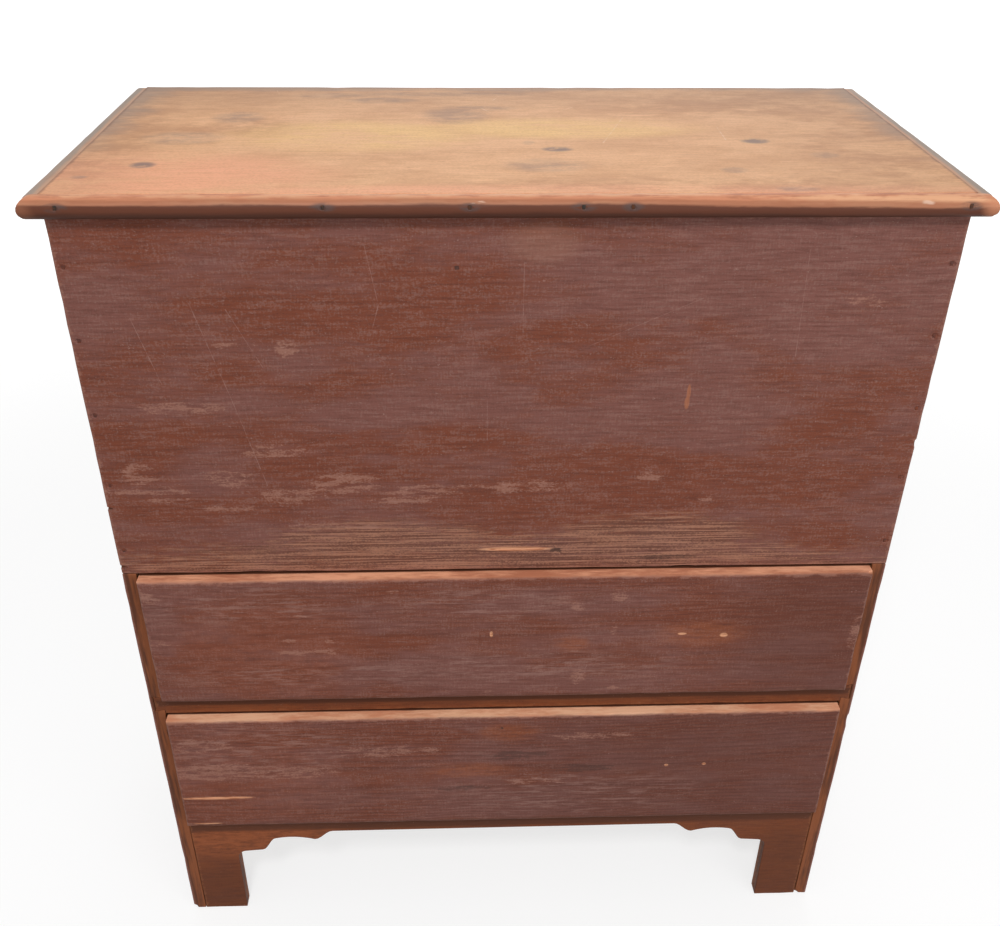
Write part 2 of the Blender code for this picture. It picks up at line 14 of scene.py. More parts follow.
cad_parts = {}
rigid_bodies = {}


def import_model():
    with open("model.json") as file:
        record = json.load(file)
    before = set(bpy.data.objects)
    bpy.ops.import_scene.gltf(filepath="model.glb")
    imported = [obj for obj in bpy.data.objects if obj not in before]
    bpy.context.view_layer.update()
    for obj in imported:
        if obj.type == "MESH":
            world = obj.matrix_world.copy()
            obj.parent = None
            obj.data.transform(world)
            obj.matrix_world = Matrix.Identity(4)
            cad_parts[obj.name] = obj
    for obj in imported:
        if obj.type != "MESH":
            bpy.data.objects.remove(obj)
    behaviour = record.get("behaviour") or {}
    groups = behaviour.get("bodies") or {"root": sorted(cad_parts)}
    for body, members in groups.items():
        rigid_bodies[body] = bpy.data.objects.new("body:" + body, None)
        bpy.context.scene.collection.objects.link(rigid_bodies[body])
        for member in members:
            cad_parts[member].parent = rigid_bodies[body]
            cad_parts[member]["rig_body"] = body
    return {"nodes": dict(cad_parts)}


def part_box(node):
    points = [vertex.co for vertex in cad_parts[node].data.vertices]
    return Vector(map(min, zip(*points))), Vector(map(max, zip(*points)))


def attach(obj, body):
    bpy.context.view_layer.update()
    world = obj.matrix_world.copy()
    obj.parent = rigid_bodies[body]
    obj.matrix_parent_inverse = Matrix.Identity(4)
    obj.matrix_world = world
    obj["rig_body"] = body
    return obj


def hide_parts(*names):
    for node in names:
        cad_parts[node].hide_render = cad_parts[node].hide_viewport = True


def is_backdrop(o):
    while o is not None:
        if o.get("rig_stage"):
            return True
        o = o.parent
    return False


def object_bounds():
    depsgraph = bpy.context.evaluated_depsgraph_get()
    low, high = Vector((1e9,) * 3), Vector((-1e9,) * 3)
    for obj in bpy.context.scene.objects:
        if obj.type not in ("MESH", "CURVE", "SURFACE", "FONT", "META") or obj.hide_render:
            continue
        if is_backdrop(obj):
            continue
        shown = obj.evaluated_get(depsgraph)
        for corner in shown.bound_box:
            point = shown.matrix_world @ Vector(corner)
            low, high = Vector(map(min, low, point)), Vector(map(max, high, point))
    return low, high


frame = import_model()
measured_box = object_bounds()
print("boards loaded:", len(frame["nodes"]))

# %% [markdown]
# ## The camera
# The camera stands in front of the chest, a little left of its middle, and looks down at it. Its place
# and its three angles were found by matching the corners of the lid, the drawers and the feet. The focal
# length is kept in pixels of the picture, because that is how it was measured, and is turned into
# millimetres here.

# %% Camera
PICTURE_WIDTH = 1000
FOCAL_PIXELS = 1084.5
SENSOR_WIDTH = 36.0
EYE = (-0.0536, -1.2461, 1.4117)
TURN_DEG = -2.33
TILT_DEG = -31.85
ROLL_DEG = -0.63

bpy.ops.object.camera_add(location=EYE)
camera = bpy.context.object
turn = Matrix.Rotation(math.radians(TURN_DEG), 4, "Z")
tilt = Matrix.Rotation(math.radians(90 + TILT_DEG), 4, "X")
roll = Matrix.Rotation(math.radians(-ROLL_DEG), 4, "Z")
camera.rotation_euler = (turn @ tilt @ roll).to_euler()
camera.data.sensor_width = SENSOR_WIDTH
camera.data.lens = FOCAL_PIXELS / PICTURE_WIDTH * SENSOR_WIDTH
bpy.context.scene.camera = camera
bpy.context.scene.view_settings.view_transform = "Standard"
print("lens:", round(camera.data.lens, 2), "mm")

# %% [markdown]
# ## Shader sums
# A finish is a sum of masks: clouds of tone, streaks along the grain, wear near an edge, marks at known
# places. Building such sums node by node hides the idea, so this small class lets Python write them. It
# wraps one socket, and every + - * / on it adds a Math node. Any other node comes from its `node` method.

# %% A socket that can do sums
class Shade:
    """A socket in a material that Python can do sums with."""

    def __init__(self, tree, socket):
        self.tree = tree
        self.socket = socket

    def node(self, kind, settings, sockets, output=0):
        """Add a node: its settings first, then the values or links of its sockets."""
        made = self.tree.nodes.new("ShaderNode" + kind)
        for name, value in settings.items():
            setattr(made, name, value)
        for name, value in sockets.items():
            if isinstance(value, Shade):
                self.tree.links.new(value.socket, made.inputs[name])
            else:
                made.inputs[name].default_value = value
        return Shade(self.tree, made.outputs[output])

    def sum(self, operation, first, second=0.0):
        return self.node("Math", {"operation": operation}, {0: first, 1: second})

    def __add__(self, other):
        return self.sum("ADD", self, other)

    def __sub__(self, other):
        return self.sum("SUBTRACT", self, other)

    def __rsub__(self, other):
        return self.sum("SUBTRACT", other, self)

    def __mul__(self, other):
        return self.sum("MULTIPLY", self, other)

    def __truediv__(self, other):
        return self.sum("DIVIDE", self, other)

    def __pow__(self, other):
        return self.sum("POWER", self, other)

    def __abs__(self):
        return self.sum("ABSOLUTE", self)

    __radd__ = __add__
    __rmul__ = __mul__


print("a socket can do sums")

# %% [markdown]
# ## Soft steps and layers
# Worn paint is seldom there or gone: it thins out. So a mask is a soft step over a sum, and a finish is a
# stack of colours, each laid over those below it by a mask of its own. Colours go through Mix nodes,
# because a Math node would turn them grey.

# %% Steps, blends and layers
def least(first, second):
    """The smaller of two sums."""
    return first.sum("MINIMUM", first, second)


def most(first, second):
    """The larger of two sums."""
    return first.sum("MAXIMUM", first, second)


def ease(value, start, end):
    """A soft step that is 0 at start and 1 at end."""
    limits = {"Value": value, "From Min": start, "From Max": end}
    return value.node("MapRange", {"interpolation_type": "SMOOTHSTEP"}, limits)


def blend(share, under, over):
    """Lay one colour over another; share is 0 for the colour under and 1 for the colour over."""
    return share.node("Mix", {"data_type": "RGBA"}, {0: share, 6: under, 7: over}, 2)


def lay(under, layers):
    """Lay colours over one another from the bottom up, each given as (share, colour)."""
    for share, over in layers:
        under = blend(share, under, over)
    return under


print("steps and layers ready")

# %% [markdown]
# ## Colours and lumber space
# Colours are written in screen levels from 0 to 255, which are easy to compare, and are turned into light
# here, because a shader adds up light. Every board is described in its own lumber space: first along the
# grain, then across the face, then into the thickness. A Mapping node could turn the pattern for each
# board, but putting the axes in another order is enough, and one set of patterns then serves a lid, a
# side and a drawer bottom alike.

# %% Colours and lumber space
FRONT_GRAIN = (0, 2, 1)
LID_GRAIN = (0, 1, 2)
SIDE_GRAIN = (2, 1, 0)
RUNNER_GRAIN = (1, 2, 0)


def linear(level):
    """One screen level from 0 to 255 as the light that it stands for."""
    level = level / 255
    return level / 12.92 if level <= 0.04045 else ((level + 0.055) / 1.055) ** 2.4


def colour(red, green, blue):
    """A colour in screen levels, as a shader takes it."""
    return (linear(red), linear(green), linear(blue), 1.0)


def new_finish(name):
    """Start a finish, and give its place on the piece in metres."""
    finish = bpy.data.materials.new(name)
    finish.use_nodes = True
    start = finish.node_tree.nodes.new("ShaderNodeTexCoord")
    return finish, Shade(finish.node_tree, start.outputs["Object"])


def axes_of(place):
    """The x, y and z of a place as three sums."""
    split = place.node("SeparateXYZ", {}, {"Vector": place}).socket.node
    return [Shade(place.tree, output) for output in split.outputs]


def lumber_space(place, order):
    """A place as (along the grain, across the face, into the thickness), together and one by one."""
    axes = axes_of(place)
    along, across, deep = [axes[number] for number in order]
    lumber = place.node("CombineXYZ", {}, {"X": along, "Y": across, "Z": deep})
    return lumber, along, across, deep


print("ways the grain can run:", len((FRONT_GRAIN, LID_GRAIN, SIDE_GRAIN, RUNNER_GRAIN)))

# %% [markdown]
# ## Wood, before any paint
# Clouds stretched along the grain give streaks. Growth rings are circles about the pith of the log, so a
# flat-sawn face shows them as long lines that open and close. A picture of wood could be laid on each face
# instead, but its rings would not run on over the edges, and close up it would blur.

# %% Clouds, growth rings and edges
SPECULAR = 0.2


def cloud(place, along, across, seed, detail=3.0, rough=0.5):
    """Soft variation from 0 to 1, with so many clouds per metre along and across the grain."""
    move = {"Vector": place, "Location": (seed, seed * 1.7, seed * 2.3), "Scale": (along, across, across)}
    moved = place.node("Mapping", {}, move)
    return place.node("TexNoise", {}, {"Vector": moved, "Scale": 1.0, "Detail": detail, "Roughness": rough})


def growth_rings(lumber, across, deep, pith, spacing, seed):
    """Dark late-wood lines of a log whose pith runs along the grain, from 0 to 1."""
    drift = (cloud(lumber, 1.3, 3.0, seed) - 0.5) * 0.10
    waver = (cloud(lumber, 9.0, 60.0, seed + 3) - 0.5) * 0.004
    out = across - pith[0] + drift
    back = deep - pith[1]
    radius = (out * out + back * back) ** 0.5 + waver
    turns = radius.sum("FRACT", radius / spacing)
    return ease(turns, 0.3, 0.85) * ease(turns, 1.0, 0.88)


def rim_distance(axes, low, high):
    """How far a point on a board's surface is from the nearest edge of the board, in metres."""
    near = [least(axes[n] - low[n], high[n] - axes[n]) for n in range(3)]
    smaller = least(near[0], near[1])
    larger = most(near[0], near[1])
    return most(smaller, least(larger, near[2]))


def dress(finish, base, rough, height, relief):
    """Connect a finish: its colour, its roughness and a bump of so many metres."""
    tree = finish.node_tree
    shader = tree.nodes["Principled BSDF"]
    shader.inputs["Specular IOR Level"].default_value = SPECULAR
    bump = height.node("Bump", {}, {"Height": height, "Distance": relief})
    for name, value in (("Base Color", base), ("Roughness", rough), ("Normal", bump)):
        tree.links.new(value.socket, shader.inputs[name])
    return finish


print("wood patterns ready")

# %% [markdown]
# ## Marks at known places
# Some marks are this chest's own: a rubbed patch, a scratch, a split. Each is given in metres on the
# board's face, along the grain and then across it. A patch is an ellipse, written as its middle and its
# half sizes, whose rim a cloud makes ragged. A scratch is written as its two ends, and is the distance
# to the line between them, broken up by the same kind of cloud.

# %% Patches and scratches
def near(along, across, places):
    """A soft mask of ellipses, each (along, across, half length, half width): 1 inside, 0 at the rim."""
    mask = along * 0.0
    for place_along, place_across, half_length, half_width in places:
        out = (along - place_along) / half_length
        up = (across - place_across) / half_width
        mask = most(mask, ease(out * out + up * up, 1.2, 0.1))
    return mask


def eaten(mask, cloudy):
    """A soft mask broken up by a cloud: nearly whole in its middle, a few specks at its rim."""
    return ease(cloudy + mask * 0.15, 0.56, 0.64) * ease(mask, 0.0, 0.3)


def scratches(along, across, ragged, lines, width):
    """A mask of thin broken lines, each (along, across) at its start and then at its end."""
    mask = along * 0.0
    for start_along, start_across, end_along, end_across in lines:
        run = Vector((end_along, end_across)) - Vector((start_along, start_across))
        share = (along - start_along) * run.x + (across - start_across) * run.y
        share = share / run.length_squared
        share = least(most(share, 0.0), 1.0)
        out = along - start_along - share * run.x
        up = across - start_across - share * run.y
        reach = (out * out + up * up) ** 0.5 + (ragged - 0.4) * 3 * width
        mask = most(mask, ease(reach, width, width * 0.2))
    return mask


print("marks ready")

# %% [markdown]
# ## Colours of the painted boards
# The paint is a thin red-brown, dulled to mauve where it has weathered, with a pale film over it. The rail
# and the feet have a browner wash. Under both is pine: bare, browned or grimy. The colours could stand as
# numbers in each finish, but a colour with a name is found and mended in one place.

# %% Colours of paint and wood
PAINT_RED = colour(120, 64, 45)
PAINT_MAUVE = colour(125, 80, 71)
PAINT_DARK = colour(84, 48, 40)
PAINT_FILM = colour(164, 126, 116)
WASH_RED = colour(126, 66, 36)
WASH_BROWN = colour(114, 61, 38)
WASH_DARK = colour(78, 42, 26)
WASH_FILM = colour(144, 90, 58)
WEATHERED = colour(174, 124, 100)
WEATHERED_DARK = colour(98, 62, 50)
RUBBED_PAINT = colour(160, 114, 98)
BARE_WOOD = colour(228, 168, 130)
BARE_DULL = colour(178, 112, 78)
EDGE_WOOD = colour(140, 80, 46)
EDGE_DARK = colour(88, 50, 32)
# Bare tops of the drawer fronts, lighter than BARE_WOOD: painted light, as the tops lie in the shade of the
# board above. The lower drawer's are lighter still, as the rail and the upper drawer shade its top more.
UPPER_TOP_BARE_LIT = colour(242, 176, 140)
UPPER_TOP_DULL_LIT = colour(190, 122, 92)
LOWER_TOP_BARE_LIT = colour(255, 200, 162)
LOWER_TOP_DULL_LIT = colour(226, 154, 118)
LOWER_EDGE = colour(84, 48, 33)
OLD_PINE = colour(176, 132, 92)
OLD_PINE_DARK = colour(120, 80, 50)
BROWNED_PINE = colour(160, 112, 74)
GRIME = colour(92, 62, 42)
STAIN = colour(56, 42, 38)
GAP_DIRT_AND_SHADE = colour(88, 50, 34)
ORANGE_WEAR = colour(156, 88, 54)
RUDDY_WEAR = colour(146, 84, 64)
FRONT_TONES = (PAINT_RED, PAINT_MAUVE, PAINT_DARK, PAINT_FILM, RUBBED_PAINT)
print("tones of the red paint:", len(FRONT_TONES))

# %% [markdown]
# ## Old red paint
# The paint still shows the grain. It is laid from the bottom up: clouds of two reds, dark streaks along
# the grain, the pale film, then patches of painted shade and painted shadow, and patches that are
# weathered, rubbed, scratched or stained. After it come the edges, browned by hands. On the drawer fronts
# come bare tops in colours made lighter as painted light, a line of dirt and painted shade where a top
# runs in under the board above, and a lower edge darkened partly by wear and partly by painted shade.
# Then come nicks down to bare wood, and last the inside face, which was never painted. The wear could be
# brushed on by hand, but sums of masks fit every board and need no picture.

# %% Red paint
PAINT_RINGS = 0.0046
PAINT_RELIEF = 0.0003
SCRATCH_WIDTH = 0.0009
PITH_BEHIND = 0.06
GAP_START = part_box("front_board")[0].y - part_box("upper_drawer_front")[0].y - 0.0008


def red_paint(name, node, order, outward, seed, tones=FRONT_TONES, marks=None, figure=0.0, bare_top=None):
    """Worn paint on the outward face of one board; outward is the number of an axis and the face's side."""
    marks = marks or {}
    fresh, faded, dark, pale, rubbed_edge = tones
    finish, place = new_finish(name)
    lumber, along, across, deep = lumber_space(place, order)
    axes = axes_of(place)
    low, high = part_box(node)
    axis, side = outward
    behind = abs(axes[axis] - (high[axis] if side > 0 else low[axis]))
    thickness = high[axis] - low[axis]
    rim = rim_distance(axes, low, high)

    wide = cloud(lumber, 3.0, 7.0, seed + 5)
    broad = cloud(lumber, 9.0, 26.0, seed, 6.0, 0.6)
    streak = cloud(lumber, 15.0, 250.0, seed + 1, 5.0, 0.6)
    fine = cloud(lumber, 40.0, 520.0, seed + 2, 3.0)
    brushed = cloud(lumber, 560.0, 90.0, seed + 7, 2.0)
    ragged = cloud(lumber, 60.0, 120.0, seed + 3, 6.0, 0.7)
    scuff = cloud(lumber, 34.0, 210.0, seed + 8, 6.0, 0.7)
    grit = cloud(lumber, 420.0, 560.0, seed + 4, 2.0)
    lines = cloud(lumber, 9.0, 520.0, seed + 6, 4.0, 0.6)
    pith = ((low[order[1]] + high[order[1]]) / 2, low[order[2]] - PITH_BEHIND)
    rings = growth_rings(lumber, across, deep, pith, PAINT_RINGS, seed)

    def marked(kind):
        return near(along, across, marks.get(kind, []))

    wood = blend(rings * 0.5 + fine * 0.3, OLD_PINE, OLD_PINE_DARK)
    browned = ease(streak * 0.5 + broad * 0.5 - (behind - 0.009) * 14, 0.42, 0.6)
    edge_wood = blend(browned, EDGE_WOOD, EDGE_DARK)
    bare = blend(ease(fine, 0.45, 0.65), BARE_WOOD, BARE_DULL)

    reds = broad * 0.58 + scuff * 0.3 + wide * 0.12 + (marked("warm") - marked("dull")) * 0.1
    film = ease(grit * 0.3 + brushed * 0.15 + (1 - streak) * 0.2 + scuff * 0.35, 0.48, 0.58)
    broken = ease(scuff * 0.5 + ragged * 0.5, 0.36, 0.58)
    grainy = blend(ease(lines * 0.75 + grit * 0.25, 0.43, 0.57), WEATHERED, WEATHERED_DARK)
    weathered = ease(marked("weathered") * 0.9 + (streak - 0.5) * 1.4 + (scuff - 0.5) * 1.6, 0.3, 1.0)
    chips = scuff * 0.5 + ragged * 0.35 + grit * 0.15
    rubbed = ease(marked("rubbed") * 0.07 + chips, 0.52, 0.615) * ease(marked("rubbed"), 0.0, 0.4)
    line = scratches(along, across, ragged, marks.get("scratches", []), SCRATCH_WIDTH)
    paint = lay(blend(ease(reds, 0.40, 0.58), faded, fresh), (
        (ease(streak * 0.6 + fine * 0.4, 0.42, 0.64) * (0.06 + broad * 0.28), dark),
        (ease(fine * 0.4 + grit * 0.6, 0.46, 0.6) * 0.4, dark),
        (rings * figure * (0.3 + broad * 1.2), dark),
        (film * 0.3, pale),
        # Painted shade: patches darkened where a board's marks ask for shade.
        (marked("painted_shade") * 0.45, dark),
        ((marked("orange") * 0.4 + marked("tan") * 0.8) * broken, ORANGE_WEAR),
        (marked("ruddy") * broken * 0.35, RUDDY_WEAR),
        # Painted shadow that a drawer front casts on the board below it.
        (marked("shadow_under_drawer") * 0.85, dark),
        (weathered * 0.76, grainy),
        (marked("faded") * 0.2, WEATHERED),
        (rubbed * (0.25 + grit * 0.7), RUBBED_PAINT),
        (line * 0.42, PAINT_FILM),
        (marked("streaked") * ease(streak * 0.5 + scuff * 0.5, 0.48, 0.6) * 0.4, PAINT_FILM),
        (ease(grit * 0.6 + ragged * 0.4, 0.62, 0.7) * 0.5, PAINT_FILM),
        (eaten(marked("stains"), streak * 0.5 + ragged * 0.5) * 0.4, STAIN),
        (eaten(marked("pits"), ragged) * 0.75, STAIN),
        (ease(marked("scraped") * (0.6 + ragged * 0.8), 0.1, 1.0) * 0.6, BARE_DULL),
    ))

    nicked = marked("nicks")
    gone = ease(nicked * ease(nicked + ragged * 0.6 + grit * 0.6, 0.3, 1.0), 0.1, 0.85) * 0.8
    worn = ease(rim - (ragged - 0.42) * 0.02, 0.002, 0.0)
    on_edge = ease(behind, 0.0015, 0.004)
    inside = ease(behind, thickness - 0.003, thickness - 0.0015) * ease(rim, 0.002, 0.005)
    base = blend(worn * 0.4, paint, rubbed_edge)
    base = blend(on_edge * 0.9, base, edge_wood)
    # A drawer's bare top: worn wood, in colours made lighter as painted light.
    if bare_top:
        top = ease(axes[2] - (ragged - 0.5) * 0.001, high.z - 0.0048, high.z - 0.0012)
        rounded = ease(behind + (scuff - 0.5) * 0.004, 0.0002, 0.0042)
        base = blend(top * rounded, base, blend(ease(scuff * 0.4 + broad * 0.6, 0.4, 0.6), *bare_top))
        # Dirt and painted shade where a drawer's top runs in under the board above.
        base = blend(top * ease(behind, GAP_START, GAP_START + 0.0015), base, GAP_DIRT_AND_SHADE)
        # The lowest 9 mm of a drawer front are darkened, partly by wear and partly by painted shade.
        lowest = ease(axes[2] + (scuff - 0.5) * 0.01, low.z + 0.009, low.z)
        base = blend(lowest * 0.7, base, LOWER_EDGE)
    base = blend(gone, base, bare)
    base = blend(inside, base, wood)

    rough = 0.52 + fine * 0.18 + film * 0.08 + inside * 0.12
    height = fine * 0.6 + rings * 0.15 + ragged * 0.3 - gone * 0.5 - line * 0.4
    return dress(finish, base, rough, height, PAINT_RELIEF)


print("red paint ready")

# %% [markdown]
# ## The lid's honey pine
# The lid was never painted red, or has lost it: one wide honey-coloured board, yellow in the middle,
# pinker towards the front and left, with knots, grey smudges and a few scratches. Clouds alone would give
# any old board. So the patches that tell this lid from others are placed one by one, and clouds only
# break them up. Below, the board is bare.

# %% Honey pine
HONEY = colour(233, 179, 132)
HONEY_DULL = colour(215, 160, 114)
HONEY_YELLOW = colour(240, 193, 128)
HONEY_PINK = colour(240, 170, 130)
HONEY_DARK = colour(164, 104, 62)
HONEY_PALE = colour(246, 222, 190)
SMUDGE = colour(138, 124, 120)
SMUDGE_BROWN = colour(146, 106, 78)
SEAM_DIRT = colour(112, 72, 54)
EDGE_GREY = colour(140, 124, 114)
KNOT = colour(108, 92, 88)
LID_PITH = 0.09
LID_RINGS = 0.0055
LID_SCRATCH_WIDTH = 0.0011
LID_YELLOW = [(-0.17, -0.01, 0.16, 0.07), (0.06, 0.02, 0.18, 0.05)]
LID_PINK = [(-0.38, -0.16, 0.22, 0.1), (0.0, -0.225, 0.9, 0.04)]
LID_BROWN = [
    (-0.31, 0.02, 0.09, 0.05), (0.27, 0.13, 0.2, 0.08), (0.4, -0.04, 0.1, 0.2),
    (-0.43, -0.02, 0.06, 0.2), (0.2, -0.19, 0.3, 0.03),
]
LID_SMUDGES = [
    (-0.314, 0.068, 0.034, 0.03), (-0.058, 0.08, 0.045, 0.045), (-0.025, 0.112, 0.045, 0.016),
    (-0.215, 0.177, 0.05, 0.016), (-0.15, 0.152, 0.05, 0.016), (-0.065, 0.185, 0.12, 0.014),
    (-0.36, -0.02, 0.05, 0.03), (-0.434, -0.163, 0.011, 0.006), (0.036, -0.124, 0.05, 0.028),
    (0.341, -0.088, 0.018, 0.014), (0.231, -0.142, 0.016, 0.012), (0.281, -0.205, 0.025, 0.01),
    (0.023, -0.04, 0.008, 0.01),
]
LID_SCRATCHES = [
    (-0.011, 0.152, -0.003, 0.172), (-0.026, 0.114, -0.015, 0.09), (0.06, 0.09, 0.087, 0.119),
    (0.143, 0.071, 0.106, -0.041), (0.247, 0.026, 0.246, -0.029), (-0.288, 0.206, -0.282, 0.185),
]
LID_KNOTS = [(-0.38, -0.122, 0.015, 0.012), (0.053, -0.065, 0.019, 0.01), (0.278, -0.033, 0.018, 0.012)]


def honey_pine(name, node):
    """The lid board: clear-finished pine above, bare below, with dirt in the seams at its ends."""
    finish, place = new_finish(name)
    lumber, along, across, deep = lumber_space(place, LID_GRAIN)
    low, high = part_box(node)
    fine = cloud(lumber, 40.0, 520.0, 21.0, 3.0)
    streak = cloud(lumber, 14.0, 190.0, 22.0, 5.0, 0.6)
    broad = cloud(lumber, 8.0, 17.0, 23.0, 7.0, 0.65)
    ragged = cloud(lumber, 50.0, 90.0, 24.0, 5.0, 0.6)
    fleck = cloud(lumber, 90.0, 330.0, 26.0, 2.0)
    grit = cloud(lumber, 340.0, 520.0, 27.0, 2.0)
    rings = growth_rings(lumber, across, deep, (0.03, low.z - LID_PITH), LID_RINGS, 25.0)
    browned = near(along, across, LID_BROWN) * ease(broad + ragged * 0.6, 0.6, 0.95)
    grain = ease(streak * 0.3 + fine * 0.3 + grit * 0.4, 0.44, 0.58)
    dirt = ease(across, 0.05, 0.24) * 0.6 + (ease(along, 0.15, 0.47) + ease(0.0 - along, 0.34, 0.47)) * 0.3
    ends = ease(abs(along) + across * 0.1 + (broad - 0.5) * 0.12, 0.42, 0.475)
    rear = ease(across + (broad - 0.5) * 0.06, high.y - 0.03, high.y)
    smudge = near(along, across, LID_SMUDGES) * (0.35 + 0.65 * ease(broad * 0.5 + ragged * 0.5, 0.4, 0.6))
    knots = near(along, across, LID_KNOTS) * ease(ragged, 0.3, 0.5)
    seam = ease(abs(along) + (ragged - 0.5) * 0.006, high.x - 0.005, high.x - 0.001)
    below = ease(deep, low.z + 0.006, low.z + 0.003)
    base = lay(blend(ease(broad * 0.75 + ragged * 0.25, 0.38, 0.62), HONEY, HONEY_DULL), (
        (near(along, across, LID_YELLOW) * ease(broad + streak * 0.5, 0.5, 0.85), HONEY_YELLOW),
        (near(along, across, LID_PINK) * ease(broad + streak * 0.4, 0.4, 0.8), HONEY_PINK),
        (browned * 0.36, HONEY_DARK),
        (grain * 0.22 + rings * 0.04, HONEY_DARK),
        (dirt * (0.25 + broad * 0.9), SMUDGE_BROWN),
        (most(ends * ease(across, -0.2, 0.05), rear) * 0.6, EDGE_GREY),
        (smudge * 0.45, SMUDGE),
        (knots * 0.8, KNOT),
        (ease(fleck, 0.66, 0.76) * 0.4, HONEY_DARK),
        (scratches(along, across, ragged, LID_SCRATCHES, LID_SCRATCH_WIDTH) * 0.3, HONEY_PALE),
        (seam * 0.6, SEAM_DIRT),
        (below, blend(rings * 0.5 + fine * 0.3, OLD_PINE, OLD_PINE_DARK)),
    ))
    rough = 0.42 + fine * 0.2 + smudge * 0.08 + below * 0.2
    height = fine * 0.4 + rings * 0.1 + ragged * 0.3 - knots * 0.3
    return dress(finish, base, rough, height, PAINT_RELIEF)


print("honey pine ready, knots:", len(LID_KNOTS))

# %% [markdown]
# ## Stained mouldings
# The strips round the lid kept a red-brown stain, with a dark spot at each nail. The two on the ends have
# gone grey. Their colour also changes with the height on the strip: lighter on top, partly rubbed and partly
# a painted highlight, and darker under the round, which is dirt as much as painted shade. The lamps could
# give that shade alone, but the dirt goes with it, so both are painted by height.

# %% Stained moulding
MOULDING_LIGHT = colour(224, 168, 130)
MOULDING_RED = colour(206, 138, 104)
MOULDING_MID_SHADE = colour(160, 102, 74)
MOULDING_DARK = colour(90, 48, 33)
MOULDING_GREY = colour(152, 135, 122)
MOULDING_PALE = colour(232, 200, 178)
STRIP_TOP = colour(200, 152, 120)
NAIL_STAIN = colour(84, 66, 62)
UNDER_DIRT_AND_SHADE = colour(72, 39, 26)
WOOD_RELIEF = 0.0004
RUST_HALF_WIDTH = 0.005


def stained_moulding(name, node, order, seed, grey, nails, scrapes):
    """A strip: red-brown stain, rubbed and painted light on top, dirt and painted shade below, dark round
    its nails.
    """
    finish, place = new_finish(name)
    lumber, along, across, deep = lumber_space(place, order)
    low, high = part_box(node)
    up = axes_of(place)[2]
    inner_rim = min(abs(low[order[2]]), abs(high[order[2]]))
    fine = cloud(lumber, 18.0, 360.0, seed, 3.0)
    streak = cloud(lumber, 7.0, 90.0, seed + 1, 4.0)
    ragged = cloud(lumber, 40.0, 130.0, seed + 2, 5.0, 0.6)
    outer = ease(abs(deep) + (ragged - 0.5) * 0.004, inner_rim + 0.001, inner_rim + 0.007)
    nose = up + (ragged - 0.5) * 0.003 + (streak - 0.5) * 0.006 + ease(along, 0.1, 0.45) * 0.004
    tips = ease(abs(along) + (ragged - 0.5) * 0.012, high[order[0]] - 0.02, high[order[0]] - 0.004)
    spots = []
    for nail in nails:
        half_length = 0.013 + 0.008 * noise.noise(nail * 70)
        spots.append((nail[order[0]], nail[order[1]], half_length, RUST_HALF_WIDTH))
    rust = near(along, across, spots) * ease(ragged, 0.36, 0.52)
    scraped = near(along, across, scrapes) * ease(ragged * 0.6 + fine * 0.4, 0.5, 0.58)
    base = lay(blend(ease(streak * 0.6 + ragged * 0.4, 0.42, 0.58), MOULDING_LIGHT, MOULDING_RED), (
        (ease(fine * 0.5 + ragged * 0.5, 0.48, 0.64) * 0.3, MOULDING_DARK),
        ((1 - outer * 0.2) * grey, STRIP_TOP),
        ((outer * 0.75 + ease(streak + ragged * 0.3, 0.45, 0.75) * 0.25) * grey, MOULDING_GREY),
        # By height on the strip: the top stays light as a painted highlight; below it come mid tone, dark,
        # and darker under the round, which is painted shade with dirt.
        (ease(nose, high.z - 0.0004, high.z - 0.003) * 0.8, MOULDING_MID_SHADE),
        (ease(nose, high.z - 0.0052, high.z - 0.0082) * 0.95, MOULDING_DARK),
        (ease(nose, low.z + 0.009, low.z + 0.005) * 0.8, UNDER_DIRT_AND_SHADE),
        (tips * (0.2 + ease(along, 0.0, 0.1) * 0.5) * (1 - grey), MOULDING_RED),
        (rust * 0.8, NAIL_STAIN),
        (scraped * 0.6, MOULDING_PALE),
    ))
    rough = 0.4 + fine * 0.2
    height = fine * 0.4 + ragged * 0.5
    return dress(finish, base, rough, height, WOOD_RELIEF)


print("moulding stain ready")

# %% [markdown]
# ## Bare pine
# Inside and behind, the pine is bare and has only browned with age, with grime along its edges. One
# pattern for all would show the same rings on every board, so the pith of the log lies further to one
# side or the other behind each board, and its clouds start elsewhere.

# %% Bare pine
BARE_PITH = 0.05
BARE_RINGS = 0.0048


def bare_pine(name, node, order, seed):
    """Unpainted pine, browned by age, with plain growth rings and plane tracks."""
    finish, place = new_finish(name)
    lumber, along, across, deep = lumber_space(place, order)
    low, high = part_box(node)
    rim = rim_distance(axes_of(place), low, high)
    fine = cloud(lumber, 14.0, 380.0, seed, 3.0)
    broad = cloud(lumber, 3.0, 12.0, seed + 1, 3.0)
    ragged = cloud(lumber, 30.0, 120.0, seed + 2, 3.0)
    middle = (low[order[1]] + high[order[1]]) / 2
    aside = (high[order[1]] - low[order[1]]) * noise.noise((seed * 0.37, 0.5, 0.5))
    rings = growth_rings(lumber, across, deep, (middle + aside, low[order[2]] - BARE_PITH), BARE_RINGS, seed)
    base = blend(ease(broad, 0.35, 0.65), OLD_PINE, BROWNED_PINE)
    base = blend(rings * 0.5 + ease(fine, 0.5, 0.8) * 0.3, base, OLD_PINE_DARK)
    grime = ease(rim, 0.012, 0.0) * 0.4 + ease(ragged, 0.62, 0.8) * 0.35
    base = blend(grime, base, GRIME)
    height = fine * 0.5 + rings * 0.4 + ragged * 0.2
    return dress(finish, base, 0.62 + fine * 0.2, height, WOOD_RELIEF)


print("bare pine ready")

